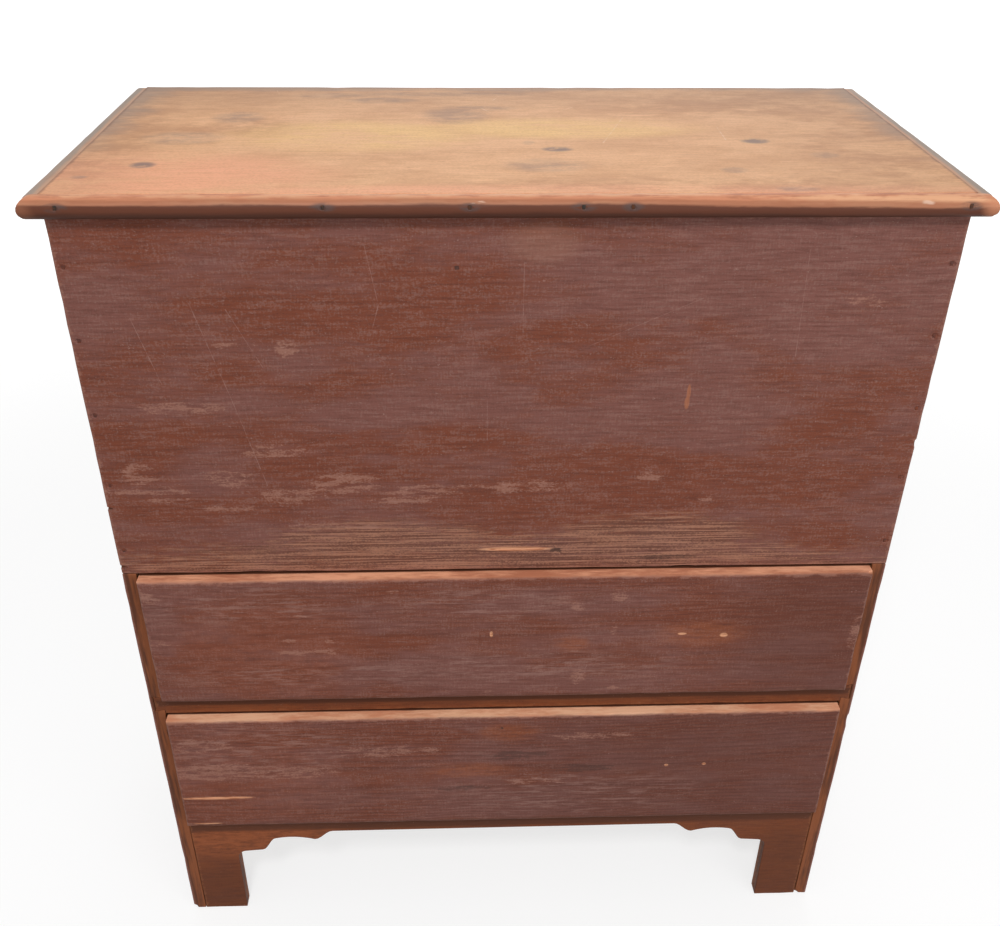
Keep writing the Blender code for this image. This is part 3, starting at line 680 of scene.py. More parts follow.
# %% [markdown]
# ## Iron
# Hinges and nails are dark iron with blotches of rust, which stand a little proud, because rust swells.
# The nails of the front board were painted over. They could have a finish of their own, but it would be
# the same blotches in other colours and without the metal, so those are what this function takes.

# %% Iron
IRON_DARK = colour(52, 47, 44)
RUST = colour(98, 62, 44)
IRON_RELIEF = 0.00025


def rusty_iron(name, seed, dark=IRON_DARK, light=RUST, metal=0.55):
    """Wrought iron with rust, or with paint over it."""
    finish, place = new_finish(name)
    blotch = cloud(place, 120.0, 120.0, seed, 4.0)
    grit = cloud(place, 900.0, 900.0, seed + 1, 3.0)
    rusted = ease(blotch * 0.8 + grit * 0.3, 0.48, 0.66)
    base = blend(rusted, dark, light)
    finish.node_tree.nodes["Principled BSDF"].inputs["Metallic"].default_value = metal
    return dress(finish, base, 0.42 + rusted * 0.4, grit * 0.6 + blotch * 0.4, IRON_RELIEF)


print("iron ready")

# %% [markdown]
# ## Uneven faces
# No board that was planed by hand is flat. Cuts across the board give it enough points to be uneven: a
# slow cloud sinks the faces by a fraction of a millimetre, and a quicker one takes more off near the
# edges. A Displace modifier could do this too, but it does not know how far a point is from an edge.
# Material is only ever taken away, so the chest keeps its size.

# %% Cut a board into strips and rub it down
CUT_STEP = 0.022
EDGE_REACH = 0.008
SKIN = 0.004


def only(piece):
    """Select one object and nothing else."""
    bpy.ops.object.select_all(action="DESELECT")
    piece.select_set(True)
    bpy.context.view_layer.objects.active = piece


def cut_across(low, high, axis):
    """Cut the board in edit mode into even strips along one axis."""
    count = int((high[axis] - low[axis]) / CUT_STEP)
    normal = [0.0, 0.0, 0.0]
    normal[axis] = 1.0
    for number in range(1, count):
        point = low.copy()
        point[axis] = low[axis] + (high[axis] - low[axis]) * number / count
        bpy.ops.mesh.select_all(action="SELECT")
        bpy.ops.mesh.bisect(plane_co=point, plane_no=normal)


def rub_down(piece, low, high, hollow, wear):
    """Sink the faces a little, and the edges more, with clouds that never add material."""
    for vertex in piece.data.vertices:
        spot = vertex.co.copy()
        near = [min(spot[n] - low[n], high[n] - spot[n]) for n in range(3)]
        edge = max(0.0, 1.0 - sorted(near)[1] / EDGE_REACH)
        slow = 0.5 + 0.5 * noise.noise(spot * 9.0)
        quick = max(0.0, noise.noise(spot * 38.0) + 0.35 * noise.noise(spot * 110.0))
        sink = hollow * slow + wear * edge * quick
        for n in range(3):
            if near[n] < SKIN:
                inward = 1.0 if spot[n] - low[n] < high[n] - spot[n] else -1.0
                vertex.co[n] += inward * sink


print("a board is cut every", CUT_STEP, "m")

# %% [markdown]
# ## Marks that have depth
# A mark that has depth is cut, not only coloured: it then catches light and shows from the side. Each cut
# is a ball stretched to the size of the mark. The balls of a board are joined first, because one Boolean
# that takes them all out is quicker than one for each.

# %% Bite marks out of a board
def bite(piece, places):
    """Take stretched balls out of a piece, each (middle, half sizes): gouges, chips, splits and dents."""
    tools = []
    for middle, half in places:
        bpy.ops.object.select_all(action="DESELECT")
        bpy.ops.mesh.primitive_uv_sphere_add(segments=20, ring_count=10, location=middle, scale=half)
        tools.append(bpy.context.object)
    for tool in tools:
        tool.select_set(True)
    bpy.ops.object.join()
    tool = bpy.context.object
    cut = piece.modifiers.new("bite", "BOOLEAN")
    cut.object = tool
    cut.use_self = True
    only(piece)
    bpy.ops.object.modifier_apply(modifier=cut.name)
    bpy.data.objects.remove(tool)


print("bites ready")

# %% [markdown]
# ## Boards with eased edges
# No edge on an old chest is sharp. Each measured board is copied, its loose triangles are merged, flat
# faces are joined again, and every sharp edge gets a small round bevel. A Bevel modifier would do as well,
# but in edit mode the cuts across the board can follow at once. The worn copy then stands for its board.

# %% Make a worn copy of a board
WELD = 0.00002
FLAT_DEG = 0.5
SHARP_DEG = 40.0
HOLLOW = 0.0002
WEAR = 0.0008


def worn_board(node, arris, hollow=HOLLOW, wear=WEAR, bitten=()):
    """Copy a measured board, ease its edges, rub it down and take the marks of use out of it."""
    low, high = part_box(node)
    piece = bpy.data.objects.new(node + "_worn", frame["nodes"][node].data.copy())
    bpy.context.scene.collection.objects.link(piece)
    piece.data.materials.clear()
    only(piece)
    bpy.ops.object.mode_set(mode="EDIT")
    bpy.ops.mesh.select_mode(type="EDGE")
    bpy.ops.mesh.select_all(action="SELECT")
    bpy.ops.mesh.customdata_custom_splitnormals_clear()
    bpy.ops.mesh.remove_doubles(threshold=WELD)
    bpy.ops.mesh.dissolve_limited(angle_limit=math.radians(FLAT_DEG))
    bpy.ops.mesh.select_all(action="DESELECT")
    bpy.ops.mesh.edges_select_sharp(sharpness=math.radians(SHARP_DEG))
    bpy.ops.mesh.bevel(offset=arris, segments=3, affect="EDGES", clamp_overlap=True)
    for axis in range(3):
        cut_across(low, high, axis)
    bpy.ops.object.mode_set(mode="OBJECT")
    rub_down(piece, low, high, hollow, wear)
    if bitten:
        bite(piece, bitten)
    bpy.ops.object.shade_smooth_by_angle(angle=math.radians(SHARP_DEG))
    firm = piece.modifiers.new("firm_faces", "WEIGHTED_NORMAL")
    firm.keep_sharp = True
    bpy.ops.object.modifier_apply(modifier=firm.name)
    return piece


def hang(piece, node, finish):
    """Let a piece stand for its measured board, on the same body, with the given finish."""
    piece.data.materials.append(finish)
    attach(piece, frame["nodes"][node]["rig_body"])
    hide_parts(node)
    return piece


print("board maker ready")

# %% [markdown]
# ## What the front board has been through
# The wide board in front of the well has the most to tell: weathered bare along its lower edge, rubbed
# pale at the lower left, split above the drawers, gouged once at the right, and scratched by whatever was
# carried past. The marks could be one long list, but each kind is a layer of the paint, so each kind has
# a list of its own.

# %% Marks on the front board
FRONT_MARKS = {
    "weathered": [(-0.03, 0.621, 0.6, 0.066), (-0.15, 0.66, 0.18, 0.045), (0.17, 0.665, 0.16, 0.045)],
    "faded": [(0.03, 1.028, 0.045, 0.026)],
    "dull": [
        (0.27, 0.98, 0.3, 0.1), (0.21, 0.83, 0.16, 0.06), (-0.41, 0.96, 0.08, 0.05),
        (-0.14, 0.834, 0.1, 0.02), (-0.06, 0.89, 0.07, 0.03), (-0.23, 0.89, 0.05, 0.02),
        (-0.33, 0.765, 0.06, 0.03),
    ],
    "warm": [
        (-0.16, 0.945, 0.16, 0.035), (-0.29, 0.885, 0.06, 0.02), (-0.4, 0.81, 0.07, 0.03),
        (-0.11, 0.8, 0.14, 0.022), (-0.2, 0.762, 0.1, 0.02), (0.14, 0.755, 0.16, 0.04),
        (0.34, 0.83, 0.09, 0.035), (0.33, 0.745, 0.1, 0.03), (0.14, 0.935, 0.12, 0.025),
        (-0.33, 0.712, 0.14, 0.022), (0.1, 0.71, 0.16, 0.025), (0.37, 0.66, 0.05, 0.025),
    ],
    "rubbed": [
        (-0.36, 0.843, 0.06, 0.008), (-0.412, 0.76, 0.022, 0.018), (-0.41, 0.737, 0.06, 0.006),
        (-0.385, 0.725, 0.03, 0.004), (-0.315, 0.752, 0.03, 0.016), (-0.322, 0.713, 0.05, 0.004),
        (-0.245, 0.73, 0.04, 0.014), (-0.185, 0.745, 0.045, 0.016), (-0.12, 0.722, 0.045, 0.006),
        (-0.09, 0.734, 0.06, 0.01), (-0.26, 0.788, 0.04, 0.01), (0.015, 0.738, 0.06, 0.01),
        (0.16, 0.75, 0.018, 0.007), (0.228, 0.72, 0.018, 0.005), (-0.19, 0.686, 0.07, 0.006),
        (-0.285, 0.917, 0.03, 0.005), (-0.236, 0.912, 0.014, 0.012), (0.371, 0.965, 0.03, 0.008),
    ],
    "scratches": [
        (0.081, 0.914, 0.197, 0.968), (-0.3, 0.853, -0.27, 0.731), (-0.33, 0.965, -0.3, 0.853),
        (-0.294, 0.958, -0.262, 0.89), (-0.392, 0.949, -0.371, 0.872), (-0.149, 1.026, -0.138, 0.962),
        (-0.138, 0.962, -0.149, 0.923), (0.011, 1.008, 0.011, 0.927), (-0.026, 0.851, -0.026, 0.8),
        (0.3, 1.02, 0.303, 0.9), (-0.452, 0.74, -0.367, 0.737), (-0.406, 0.726, -0.369, 0.725),
        (-0.359, 0.714, -0.292, 0.712), (-0.236, 0.686, -0.136, 0.684), (-0.15, 0.72, -0.095, 0.719),
    ],
    "nicks": [(0.008, 0.6505, 0.05, 0.0038)],
    "scraped": [(0.1918, 0.845, 0.0034, 0.01), (0.1926, 0.857, 0.0026, 0.013)],
    "pits": [(0.056, 0.6465, 0.009, 0.0055), (-0.057, 1.002, 0.003, 0.003)],
    "stains": [(0.19, 0.636, 0.05, 0.004)],
}
print("marks on the front board:", sum(len(places) for places in FRONT_MARKS.values()))

# %% [markdown]
# ## Marks on the drawers
# The upper drawer shows two pairs of filled holes, where pulls were once fixed, and the lower one a pair at
# the right and a split near its left end. Both are darker towards the right, partly in their paint and
# partly by painted shade. They could share one list of marks, but the eye finds wear that repeats at once.

# %% Marks on the drawers
UPPER_MARKS = {
    # Darker towards the right end: partly darker paint, partly painted shade.
    "painted_shade": [(0.46, 0.53, 0.22, 0.2)],
    "dull": [(-0.08, 0.47, 0.14, 0.03), (0.06, 0.58, 0.12, 0.03), (-0.42, 0.55, 0.03, 0.06)],
    "warm": [
        (-0.24, 0.53, 0.1, 0.03), (-0.32, 0.48, 0.12, 0.03), (-0.14, 0.525, 0.06, 0.015),
        (0.3, 0.555, 0.14, 0.04),
    ],
    "orange": [(0.079, 0.516, 0.026, 0.014), (0.24, 0.53, 0.065, 0.024)],
    "ruddy": [(-0.3, 0.51, 0.14, 0.1)],
    "streaked": [
        (-0.32, 0.585, 0.16, 0.035), (-0.02, 0.58, 0.14, 0.03), (-0.25, 0.47, 0.2, 0.025),
        (0.05, 0.48, 0.2, 0.03),
    ],
    "rubbed": [
        (-0.268, 0.527, 0.01, 0.006), (-0.217, 0.527, 0.008, 0.006), (-0.241, 0.508, 0.05, 0.006),
        (-0.249, 0.565, 0.012, 0.003), (-0.139, 0.601, 0.01, 0.003), (-0.157, 0.424, 0.014, 0.005),
        (-0.023, 0.434, 0.012, 0.008), (0.135, 0.441, 0.009, 0.004), (0.086, 0.575, 0.012, 0.008),
        (0.133, 0.592, 0.012, 0.012), (0.113, 0.57, 0.006, 0.005), (0.13, 0.538, 0.006, 0.012),
        (0.089, 0.461, 0.012, 0.014), (0.434, 0.525, 0.012, 0.035), (-0.428, 0.595, 0.02, 0.012),
        (-0.43, 0.525, 0.022, 0.008),
    ],
    "scratches": [(-0.06, 0.482, 0.16, 0.48), (0.07, 0.5135, 0.096, 0.513), (0.1, 0.48, 0.088, 0.455)],
    "nicks": [
        (0.215, 0.529, 0.0065, 0.0022), (0.267, 0.526, 0.006, 0.004), (-0.0205, 0.533, 0.0026, 0.0055),
    ],
}
LOWER_MARKS = {
    # Darker towards the right end: partly darker paint, partly painted shade.
    "painted_shade": [(0.46, 0.28, 0.55, 0.26)],
    "dull": [(0.0, 0.325, 0.1, 0.02), (0.02, 0.225, 0.14, 0.03)],
    "warm": [(-0.4, 0.22, 0.06, 0.03), (-0.2, 0.36, 0.2, 0.02), (0.0, 0.366, 0.04, 0.012)],
    "orange": [(-0.05, 0.296, 0.07, 0.016), (0.004, 0.365, 0.045, 0.018)],
    "ruddy": [(-0.36, 0.3, 0.16, 0.12)],
    "streaked": [(-0.33, 0.34, 0.15, 0.06), (0.1, 0.25, 0.2, 0.05)],
    "pits": [(-0.006, 0.373, 0.003, 0.002)],
    "rubbed": [
        (-0.418, 0.199, 0.03, 0.006), (-0.395, 0.35, 0.05, 0.014), (-0.375, 0.3, 0.08, 0.02),
        (-0.29, 0.298, 0.07, 0.014), (-0.16, 0.335, 0.08, 0.012), (0.04, 0.272, 0.05, 0.008),
        (0.113, 0.356, 0.06, 0.008),
    ],
    "nicks": [
        (-0.39, 0.252, 0.058, 0.0032), (-0.408, 0.202, 0.024, 0.0016), (0.216, 0.2985, 0.0034, 0.0026),
        (0.267, 0.2995, 0.0034, 0.0026),
    ],
    "stains": [(0.01, 0.323, 0.06, 0.01), (0.1, 0.296, 0.05, 0.01), (-0.062, 0.262, 0.05, 0.006)],
}
drawer_marks = list(UPPER_MARKS.values()) + list(LOWER_MARKS.values())
print("marks on the drawers:", sum(len(places) for places in drawer_marks))

# %% [markdown]
# ## Places on a board's face
# Splits, chips and nails all sit on a face. They could be written as points in space, but only the two
# coordinates that run in the face are given, and the third is taken from the measured board, so that none
# of them hangs in front of the wood.

# %% Places on a face
DENT = (0.0042, 0.0015, 0.0034)


def face_point(node, out_axis, side, first, second):
    """A point on one face of a board: the two coordinates that run in the face are given in order."""
    low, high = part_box(node)
    point = [first, second]
    point.insert(out_axis, high[out_axis] if side > 0 else low[out_axis])
    return Vector(point)


def on_front(node, marks):
    """Stretched balls on the front face of a board, each (x, z, three half sizes)."""
    return [(face_point(node, 1, -1, x, z), half) for x, z, *half in marks]


def dents(nails, out_axis):
    """A dent round each nail head."""
    half = [DENT[0], DENT[0], DENT[2]]
    half[out_axis] = DENT[1]
    return [(nail, half) for nail in nails]


print("places on a face ready")

# %% [markdown]
# ## Nail heads
# The nails were cut from sheet iron, so their heads are small rectangles. They sit a little below the
# wood, each in a dent of its own. One head is made from a cube with eased edges and copied to each place.
# An Array modifier could set them out, but old nails are not evenly spaced.

# %% Nail heads
NAIL_HEAD = (0.0046, 0.0034, 0.0016)
NAIL_EASE = 0.0004
NAIL_SUNK = 0.0007


def copy_to(model, name, spots, turns, body, finish):
    """Copy a small iron model to every spot, each with its own turn, and make one piece of the copies."""
    copies = []
    for spot, turn in zip(spots, turns):
        twin = model.copy()
        twin.data = model.data.copy()
        bpy.context.scene.collection.objects.link(twin)
        twin.location = spot
        twin.rotation_euler = turn
        copies.append(twin)
    bpy.data.objects.remove(model)
    only(copies[0])
    for twin in copies:
        twin.select_set(True)
    bpy.ops.object.transform_apply(location=True, rotation=True, scale=True)
    bpy.ops.object.join()
    bpy.ops.object.shade_smooth_by_angle(angle=math.radians(SHARP_DEG))
    piece = bpy.context.object
    piece.name = name
    piece.data.materials.append(finish)
    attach(piece, body)
    return piece


def drive_nails(name, body, nails, out_axis, side, finish):
    """Model one nail head with eased edges, then copy it to every nail's place."""
    bpy.ops.object.select_all(action="DESELECT")
    bpy.ops.mesh.primitive_cube_add(size=1.0, scale=NAIL_HEAD)
    bpy.ops.object.transform_apply(location=True, rotation=True, scale=True)
    bpy.ops.object.mode_set(mode="EDIT")
    bpy.ops.mesh.select_all(action="SELECT")
    bpy.ops.mesh.bevel(offset=NAIL_EASE, segments=2, affect="EDGES")
    bpy.ops.object.mode_set(mode="OBJECT")
    head = bpy.context.object
    outward = Vector([side if n == out_axis else 0.0 for n in range(3)])
    turn = outward.to_track_quat("Z", "X").to_euler()
    spots = [nail - outward * (NAIL_SUNK + NAIL_HEAD[2] / 2) for nail in nails]
    return copy_to(head, name, spots, [turn] * len(spots), body, finish)


print("nail heads ready")

# %% [markdown]
# ## Where the front is nailed and cut
# The front board is nailed to the edges of the side boards, with five nails at each end, which were
# painted over. The gouge, the splits, the chips and the filled holes are cut where their marks lie. They
# could be coloured alone, but a split without depth looks drawn.

# %% Nails and cuts of the front
nail_iron = rusty_iron("nail_iron", 11.0)
painted_iron = rusty_iron("painted_iron", 13.0, PAINT_DARK, PAINT_RED, 0.0)
BOARD_NAIL_X = 0.4485
BOARD_NAIL_HEIGHTS = (0.655, 0.745, 0.835, 0.923, 1.004)
front_nails = [
    face_point("front_board", 1, -1, side * BOARD_NAIL_X, height)
    for side in (-1, 1)
    for height in BOARD_NAIL_HEIGHTS
]
front_bites = on_front("front_board", [
    (0.192, 0.853, 0.0016, 0.0006, 0.012), (0.008, 0.6505, 0.036, 0.0026, 0.0022),
    (0.056, 0.645, 0.007, 0.0012, 0.0045), (-0.457, 0.714, 0.007, 0.005, 0.0026),
    (-0.457, 0.631, 0.009, 0.005, 0.0028), (-0.3, 0.621, 0.022, 0.003, 0.002),
    (0.21, 0.621, 0.016, 0.003, 0.0024), (0.457, 0.79, 0.003, 0.004, 0.006),
])
upper_bites = on_front("upper_drawer_front", [
    (-0.268, 0.528, 0.0045, 0.0008, 0.0026), (-0.216, 0.528, 0.0045, 0.0008, 0.0026),
    (0.215, 0.529, 0.003, 0.0004, 0.0012), (0.267, 0.526, 0.0034, 0.0005, 0.002),
    (-0.021, 0.533, 0.0016, 0.0008, 0.004), (0.4375, 0.535, 0.0024, 0.003, 0.006),
    (0.4375, 0.619, 0.007, 0.006, 0.004), (-0.15, 0.619, 0.02, 0.003, 0.0016),
])
lower_bites = on_front("lower_drawer_front", [
    (-0.385, 0.2525, 0.05, 0.0022, 0.002), (-0.418, 0.195, 0.022, 0.004, 0.0032),
    (0.24, 0.393, 0.024, 0.003, 0.0016), (0.216, 0.2985, 0.0014, 0.0006, 0.001),
    (0.267, 0.2995, 0.0014, 0.0006, 0.001), (-0.006, 0.373, 0.0022, 0.001, 0.0016),
])
print("nails in the front board:", len(front_nails))

# %% [markdown]
# ## The front
# The front board and the two drawer fronts are seen first. One paint function serves all three, but each
# board gets its own seed and its own marks, so that no streak repeats. The drawers stand proud of the
# case, so hands and knees have rubbed their upper edges down to bare wood. A picture of worn paint could
# be wrapped round them instead, but it would be blurred close up, and it would not follow the edges.

# %% Front board and drawer fronts
FRONT_OUT = (1, -1)
FRONT_ARRIS = 0.0015
DRAWER_ARRIS = 0.0006
DRAWER_WEAR = 0.0014

front_finish = red_paint("front_board_paint", "front_board", FRONT_GRAIN, FRONT_OUT, 1.0, marks=FRONT_MARKS)
front = worn_board("front_board", FRONT_ARRIS, bitten=front_bites + dents(front_nails, 1))
hang(front, "front_board", front_finish)
drive_nails("front_board_nails", "case", front_nails, 1, -1, painted_iron)
drawer_fronts = (
    ("upper_drawer", UPPER_MARKS, 31.0, 0.3, (UPPER_TOP_BARE_LIT, UPPER_TOP_DULL_LIT), upper_bites),
    ("lower_drawer", LOWER_MARKS, 47.0, 0.5, (LOWER_TOP_BARE_LIT, LOWER_TOP_DULL_LIT), lower_bites),
)
for drawer, marks, seed, figure, top, cuts in drawer_fronts:
    node = drawer + "_front"
    finish = red_paint(node + "_paint", node, FRONT_GRAIN, FRONT_OUT, seed, FRONT_TONES, marks, figure, top)
    hang(worn_board(node, DRAWER_ARRIS, wear=DRAWER_WEAR, bitten=cuts), node, finish)
print("front board and drawer fronts dressed")

# %% [markdown]
# ## Sides, rail and bracket
# The side boards run from the lid to the floor, with their grain upright, and carry the same paint as the
# front. The rail between the drawers and the bracket board below them had only a thin wash, which is
# browner. Under each drawer they get a band of painted shadow, the rail is darker at its top, and the
# feet get painted shade. The scrolls of the bracket are already sawn in the measured board; it only needs
# eased edges, and the feet have lost a chip where the chest was dragged.

# %% Sides, rail and bracket
LEFT_OUT = (0, -1)
RIGHT_OUT = (0, 1)
WASH = (WASH_RED, WASH_BROWN, WASH_DARK, WASH_FILM, WASH_FILM)
APRON_MARKS = {
    "tan": [(-0.38, 0.165, 0.18, 0.06)],
    # Painted shade, low on both feet and more on the right one.
    "painted_shade": [(-0.4, 0.03, 0.07, 0.08), (0.41, 0.04, 0.09, 0.14)],
    # Painted shadow that the lower drawer casts on the top of the bracket board.
    "shadow_under_drawer": [(0.0, 0.174, 2.0, 0.01)],
}
# Painted shadow of the upper drawer on the rail: darker at its top, darkest in a band just under the drawer.
RAIL_MARKS = {"painted_shade": [(0.0, 0.43, 2.0, 0.03)], "shadow_under_drawer": [(0.0, 0.413, 2.0, 0.006)]}
SIDE_MARKS = {
    "dull": [(0.5, 0.02, 0.22, 0.08), (0.95, 0.12, 0.1, 0.06)],
    "warm": [(0.8, -0.12, 0.2, 0.06), (0.25, 0.12, 0.14, 0.05)],
    "rubbed": [
        (0.62, -0.13, 0.05, 0.02), (0.3, 0.05, 0.03, 0.015), (0.9, 0.12, 0.04, 0.02),
        (0.05, -0.17, 0.03, 0.02), (0.48, -0.19, 0.08, 0.01),
    ],
    "scratches": [(0.85, -0.1, 0.7, -0.02), (0.42, 0.1, 0.36, 0.16), (0.95, 0.02, 0.93, 0.12)],
}
FOOT_CHIP = (0.006, 0.005, 0.008)
EDGE_CHIP = (0.003, 0.004, 0.012)
EDGE_CHIP_HEIGHT = 0.36
CASE_ARRIS = 0.0012

for node, outward, seed in (("side_left", LEFT_OUT, 61.0), ("side_right", RIGHT_OUT, 73.0)):
    low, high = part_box(node)
    foot_corner = Vector((low.x, low.y, 0.0))
    inner_edge = Vector((high.x, low.y, EDGE_CHIP_HEIGHT))
    chips = [(foot_corner, FOOT_CHIP), (inner_edge, EDGE_CHIP)]
    finish = red_paint(node + "_paint", node, SIDE_GRAIN, outward, seed, marks=SIDE_MARKS)
    hang(worn_board(node, CASE_ARRIS, bitten=chips), node, finish)
for node, seed, marks in (("mid_rail", 83.0, RAIL_MARKS), ("bracket_apron", 89.0, APRON_MARKS)):
    finish = red_paint(node + "_paint", node, FRONT_GRAIN, FRONT_OUT, seed, WASH, marks)
    hang(worn_board(node, CASE_ARRIS), node, finish)
print("sides, rail and bracket dressed")

# %% [markdown]
# ## The lid
# The lid is one board with a strip nailed along its front edge and one on each end. The nails have rusted
# and show as dark spots along the front. The strips' rounds could be made here with a wide bevel, but the
# measured strips already have them, so each is only worn, dented at its nails, chipped and stained.

# %% Lid and mouldings
FRONT_NAIL_X = (-0.438, -0.185, -0.044, 0.066, 0.114, 0.446)
NOSE_SCRAPES = [
    (0.403, 1.0735, 0.007, 0.003), (-0.036, 1.0735, 0.008, 0.003), (0.084, 1.0735, 0.01, 0.003),
    (0.452, 1.0715, 0.005, 0.002),
]
NOSE_CHIPS = [
    ((0.478, -0.236, 1.0555), (0.012, 0.012, 0.008)),
    ((-0.478, -0.234, 1.0560), (0.007, 0.008, 0.005)),
    ((0.300, -0.2325, 1.0610), (0.014, 0.0012, 0.003)),
]
NOSE_NAIL_HEIGHT = 1.0702
END_NAIL_Y = (-0.19, 0.0, 0.18)
END_NAIL_HEIGHT = 1.067
LID_ARRIS = 0.0008
STRIP_ARRIS = 0.0005
STRIP_WEAR = 0.0012

lid_finish = honey_pine("lid_board_pine", "lid_board")
hang(worn_board("lid_board", LID_ARRIS), "lid_board", lid_finish)
nose_nails = [face_point("lid_front_moulding", 1, -1, x, NOSE_NAIL_HEIGHT) for x in FRONT_NAIL_X]
strips = [("lid_front_moulding", FRONT_GRAIN, 101.0, 0.0, nose_nails, NOSE_SCRAPES, NOSE_CHIPS, 1, -1)]
for hand, side, seed in (("left", -1, 107.0), ("right", 1, 113.0)):
    node = "lid_end_moulding_" + hand
    nails = [face_point(node, 0, side, y, END_NAIL_HEIGHT) for y in END_NAIL_Y]
    strips.append((node, RUNNER_GRAIN, seed, 1.0, nails, [], [], 0, side))
for node, order, seed, grey, nails, scrapes, chips, out_axis, side in strips:
    finish = stained_moulding(node + "_stain", node, order, seed, grey, nails, scrapes)
    strip = worn_board(node, STRIP_ARRIS, wear=STRIP_WEAR, bitten=dents(nails, out_axis) + chips)
    hang(strip, node, finish)
    drive_nails(node + "_nails", "lid", nails, out_axis, side, nail_iron)
print("lid dressed")

# %% [markdown]
# ## Inside and behind
# The boards that nobody sees were left bare and rough. The back is three boards nailed to the case sides.
# All of them are browned pine, so a loop over their names and the direction of their grain is enough;
# each gets its own seed, so that no two boards look sawn from the same place in the log.

# %% Bare boards inside and behind
BACK_NAIL_X = 0.4445
BACK_NAIL_INSET = 0.04
BACK_ARRIS = 0.001
BARE_ARRIS = 0.0006
BACK_SEED = 131.0
BARE_SEED = 160.0
SEED_STEP = 7

back_nails = []
for number in (1, 2, 3):
    node = f"backboard_{number}"
    low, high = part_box(node)
    nails = [
        face_point(node, 1, 1, side * BACK_NAIL_X, height)
        for side in (-1, 1)
        for height in (low.z + BACK_NAIL_INSET, high.z - BACK_NAIL_INSET)
    ]
    back_nails += nails
    finish = bare_pine(node + "_pine", node, FRONT_GRAIN, BACK_SEED + SEED_STEP * number)
    hang(worn_board(node, BACK_ARRIS, bitten=dents(nails, 1)), node, finish)
drive_nails("backboard_nails", "case", back_nails, 1, 1, nail_iron)

bare_boards = [("well_floor", LID_GRAIN)]
for drawer in ("upper", "lower"):
    for hand in ("left", "right"):
        bare_boards.append((f"{drawer}_runner_{hand}", RUNNER_GRAIN))
        bare_boards.append((f"{drawer}_drawer_side_{hand}", RUNNER_GRAIN))
    bare_boards.append((f"{drawer}_drawer_back", FRONT_GRAIN))
    bare_boards.append((f"{drawer}_drawer_bottom", LID_GRAIN))
for number, (node, order) in enumerate(bare_boards):
    finish = bare_pine(node + "_pine", node, order, BARE_SEED + SEED_STEP * number)
    hang(worn_board(node, BARE_ARRIS), node, finish)
print("bare boards dressed:", len(bare_boards) + 3)

# %% [markdown]
# ## A slotted screw
# Slotted screws hold the hinges. One is made from a cylinder: its rim is eased with a bevel, and a thin
# block is sawn out of its top. A slot could be painted on, but a cut one catches light as the lid turns.

# %% Slotted screw
SCREW_RADIUS = 0.0031
SCREW_HEAD = 0.001
SCREW_MIDDLE = (0.0, 0.0, -0.0005)
SCREW_EASE = 0.00015
SLOT = (0.0008, 0.008, 0.0012)


def slotted_screw():
    """Model one flat screw head that faces up, its top at height 0: eased rim, and a slot sawn across it."""
    bpy.ops.object.select_all(action="DESELECT")
    size = {"vertices": 24, "radius": SCREW_RADIUS, "depth": SCREW_HEAD}
    bpy.ops.mesh.primitive_cylinder_add(location=SCREW_MIDDLE, **size)
    screw = bpy.context.object
    bpy.ops.object.transform_apply(location=True, rotation=True, scale=True)
    bpy.ops.object.mode_set(mode="EDIT")
    bpy.ops.mesh.select_all(action="SELECT")
    bpy.ops.mesh.bevel(offset=SCREW_EASE, segments=2, affect="EDGES")
    bpy.ops.object.mode_set(mode="OBJECT")
    bpy.ops.mesh.primitive_cube_add(size=1.0, scale=SLOT)
    slot = bpy.context.object
    cut = screw.modifiers.new("slot", "BOOLEAN")
    cut.object = slot
    only(screw)
    bpy.ops.object.modifier_apply(modifier=cut.name)
    bpy.data.objects.remove(slot)
    return screw


print("screw head:", round(SCREW_RADIUS * 2 * 1000, 1), "mm across")

# %% [markdown]
# ## Hinges
# Two iron butt hinges carry the lid. Each leaf is let into the wood and has three countersunk holes, with
# a screw in each. The slots could all lie in line, as on fine work, but a screw of this kind stops where it
# is tight, so each copy is turned its own way.

# %% Hinges and their screws
SCREW_STEP = 0.022
SCREW_FROM_TOE = 0.0062
SCREW_SUNK = 0.0001
FACE_GAP = 0.0003
SINK_HALF = (SCREW_RADIUS * 1.12, SCREW_RADIUS * 1.12, 0.0016)
FIRST_TURN_DEG = 37
TURN_PER_METRE = 1000
PIN_ARRIS = 0.0004
LEAF_ARRIS = 0.0003

iron = rusty_iron("hinge_iron", 5.0)
for hand in ("left", "right"):
    pin = f"hinge_pin_{hand}"
    low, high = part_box(pin)
    axis_height = (low.z + high.z) / 2
    hang(worn_board(pin, PIN_ARRIS, hollow=0.0, wear=0.0), pin, iron)
    for leaf, up in (("case", 1), ("lid", -1)):
        node = f"hinge_{leaf}_leaf_{hand}"
        low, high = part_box(node)
        face = axis_height - up * FACE_GAP / 2
        middle = (low.x + high.x) / 2
        spots = [Vector((middle + n * SCREW_STEP, low.y + SCREW_FROM_TOE, face)) for n in (-1, 0, 1)]
        sinks = [(spot, SINK_HALF) for spot in spots]
        hang(worn_board(node, LEAF_ARRIS, hollow=0.0, wear=0.0, bitten=sinks), node, iron)
        tops = [spot - Vector((0.0, 0.0, up * SCREW_SUNK)) for spot in spots]
        flip = 0.0 if up > 0 else math.pi
        slots = [math.radians(FIRST_TURN_DEG + TURN_PER_METRE * spot.x) for spot in spots]
        turns = [(flip, 0.0, slot) for slot in slots]
        body = frame["nodes"][node]["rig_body"]
        copy_to(slotted_screw(), f"hinge_{leaf}_screws_{hand}", tops, turns, body, iron)
print("hinges: 2, screws: 12")

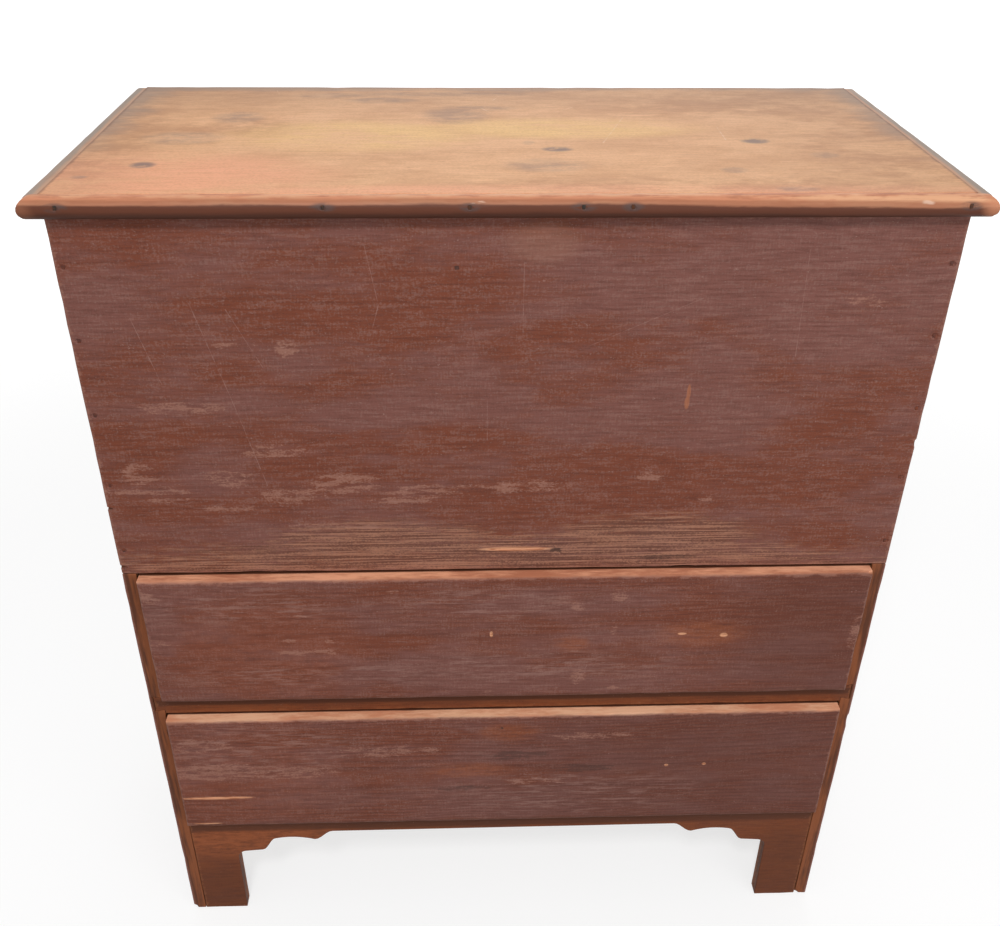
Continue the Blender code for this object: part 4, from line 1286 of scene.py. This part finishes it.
# %% [markdown]
# ## The floor
# The chest stands on a plain white floor. A truly white floor would throw much light up at the front, so
# it is a pale grey to the lamps and gets the rest of its whiteness from a glow that only the camera and
# mirrors see. The shadow of the chest stays.

# %% Floor
FLOOR_SIZE = 40.0
FLOOR_GREY = 0.32
GLOW_NEAR = 0.72
GLOW_START = 1.2
GLOW_END = 4.0


def seen_directly(tree):
    """1 for rays from the camera, and for rays that a mirror or glass sends on."""
    path = tree.nodes.new("ShaderNodeLightPath")
    kinds = [Shade(tree, path.outputs[f"Is {kind} Ray"]) for kind in ("Camera", "Glossy", "Transmission")]
    return most(most(kinds[0], kinds[1]), kinds[2])


bpy.ops.object.select_all(action="DESELECT")
bpy.ops.mesh.primitive_plane_add(size=FLOOR_SIZE)
floor = bpy.context.object
floor.name = "floor"
floor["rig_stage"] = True
paper, place = new_finish("white_paper")
tree = paper.node_tree
plain = tree.nodes["Principled BSDF"]
plain.inputs["Base Color"].default_value = (FLOOR_GREY, FLOOR_GREY, FLOOR_GREY, 1.0)
plain.inputs["Roughness"].default_value = 0.9
out, back, up = axes_of(place)
away = ease((out * out + back * back) ** 0.5, GLOW_START, GLOW_END)
level = (GLOW_NEAR + away * (1 - GLOW_NEAR)) * seen_directly(tree)
shine = level.node("CombineXYZ", {}, {"X": level, "Y": level, "Z": level})
glow = level.node("Emission", {}, {"Color": shine})
both = level.node("AddShader", {}, {0: Shade(tree, plain.outputs[0]), 1: glow})
tree.links.new(both.socket, tree.nodes["Material Output"].inputs["Surface"])
floor.data.materials.append(paper)
print("floor laid")

# %% [markdown]
# ## Light
# The key light hangs high in front, a little to the left, and gives the lid its shadow on the front
# board. A broad light from the right softens that shadow, one behind lifts the lid, and an even sky fills
# the rest. The levels are plain ones, at which a colour renders about as it is written.

# %% Lamps and world
LAMPS = (
    ("key", (-0.4, -2.2, 3.15), (0.0, -0.1, 0.75), 0.45, 45.0),
    ("fill", (1.8, -2.9, 1.3), (0.0, -0.1, 0.5), 2.4, 34.0),
    ("back", (0.4, 2.6, 2.8), (0.0, 0.0, 0.8), 2.4, 20.0),
)
SKY = 0.42

for name, spot, aim, size, power in LAMPS:
    bpy.ops.object.light_add(type="AREA", location=spot)
    lamp = bpy.context.object
    lamp.name = name
    lamp.data.size = size
    lamp.data.energy = power
    lamp.rotation_euler = (Vector(aim) - Vector(spot)).to_track_quat("-Z", "Y").to_euler()

world = bpy.data.worlds.new("studio")
bpy.context.scene.world = world
world.use_nodes = True
sky = SKY + seen_directly(world.node_tree) * (1 - SKY)
world.node_tree.nodes["Background"].inputs["Color"].default_value = (1.0, 1.0, 1.0, 1.0)
world.node_tree.links.new(sky.socket, world.node_tree.nodes["Background"].inputs["Strength"])
print("lamps:", len(LAMPS))

# %% [markdown]
# ## Width worn off
# Wear only takes wood away. The box of the chest is measured again, and the width worn off is printed.

# %% Print the width worn off, and finish
worn_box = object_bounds()
worn_off = (measured_box[1][0] - worn_box[1][0]) * 2
print("worn off the width:", round(worn_off * 1000, 2), "mm")
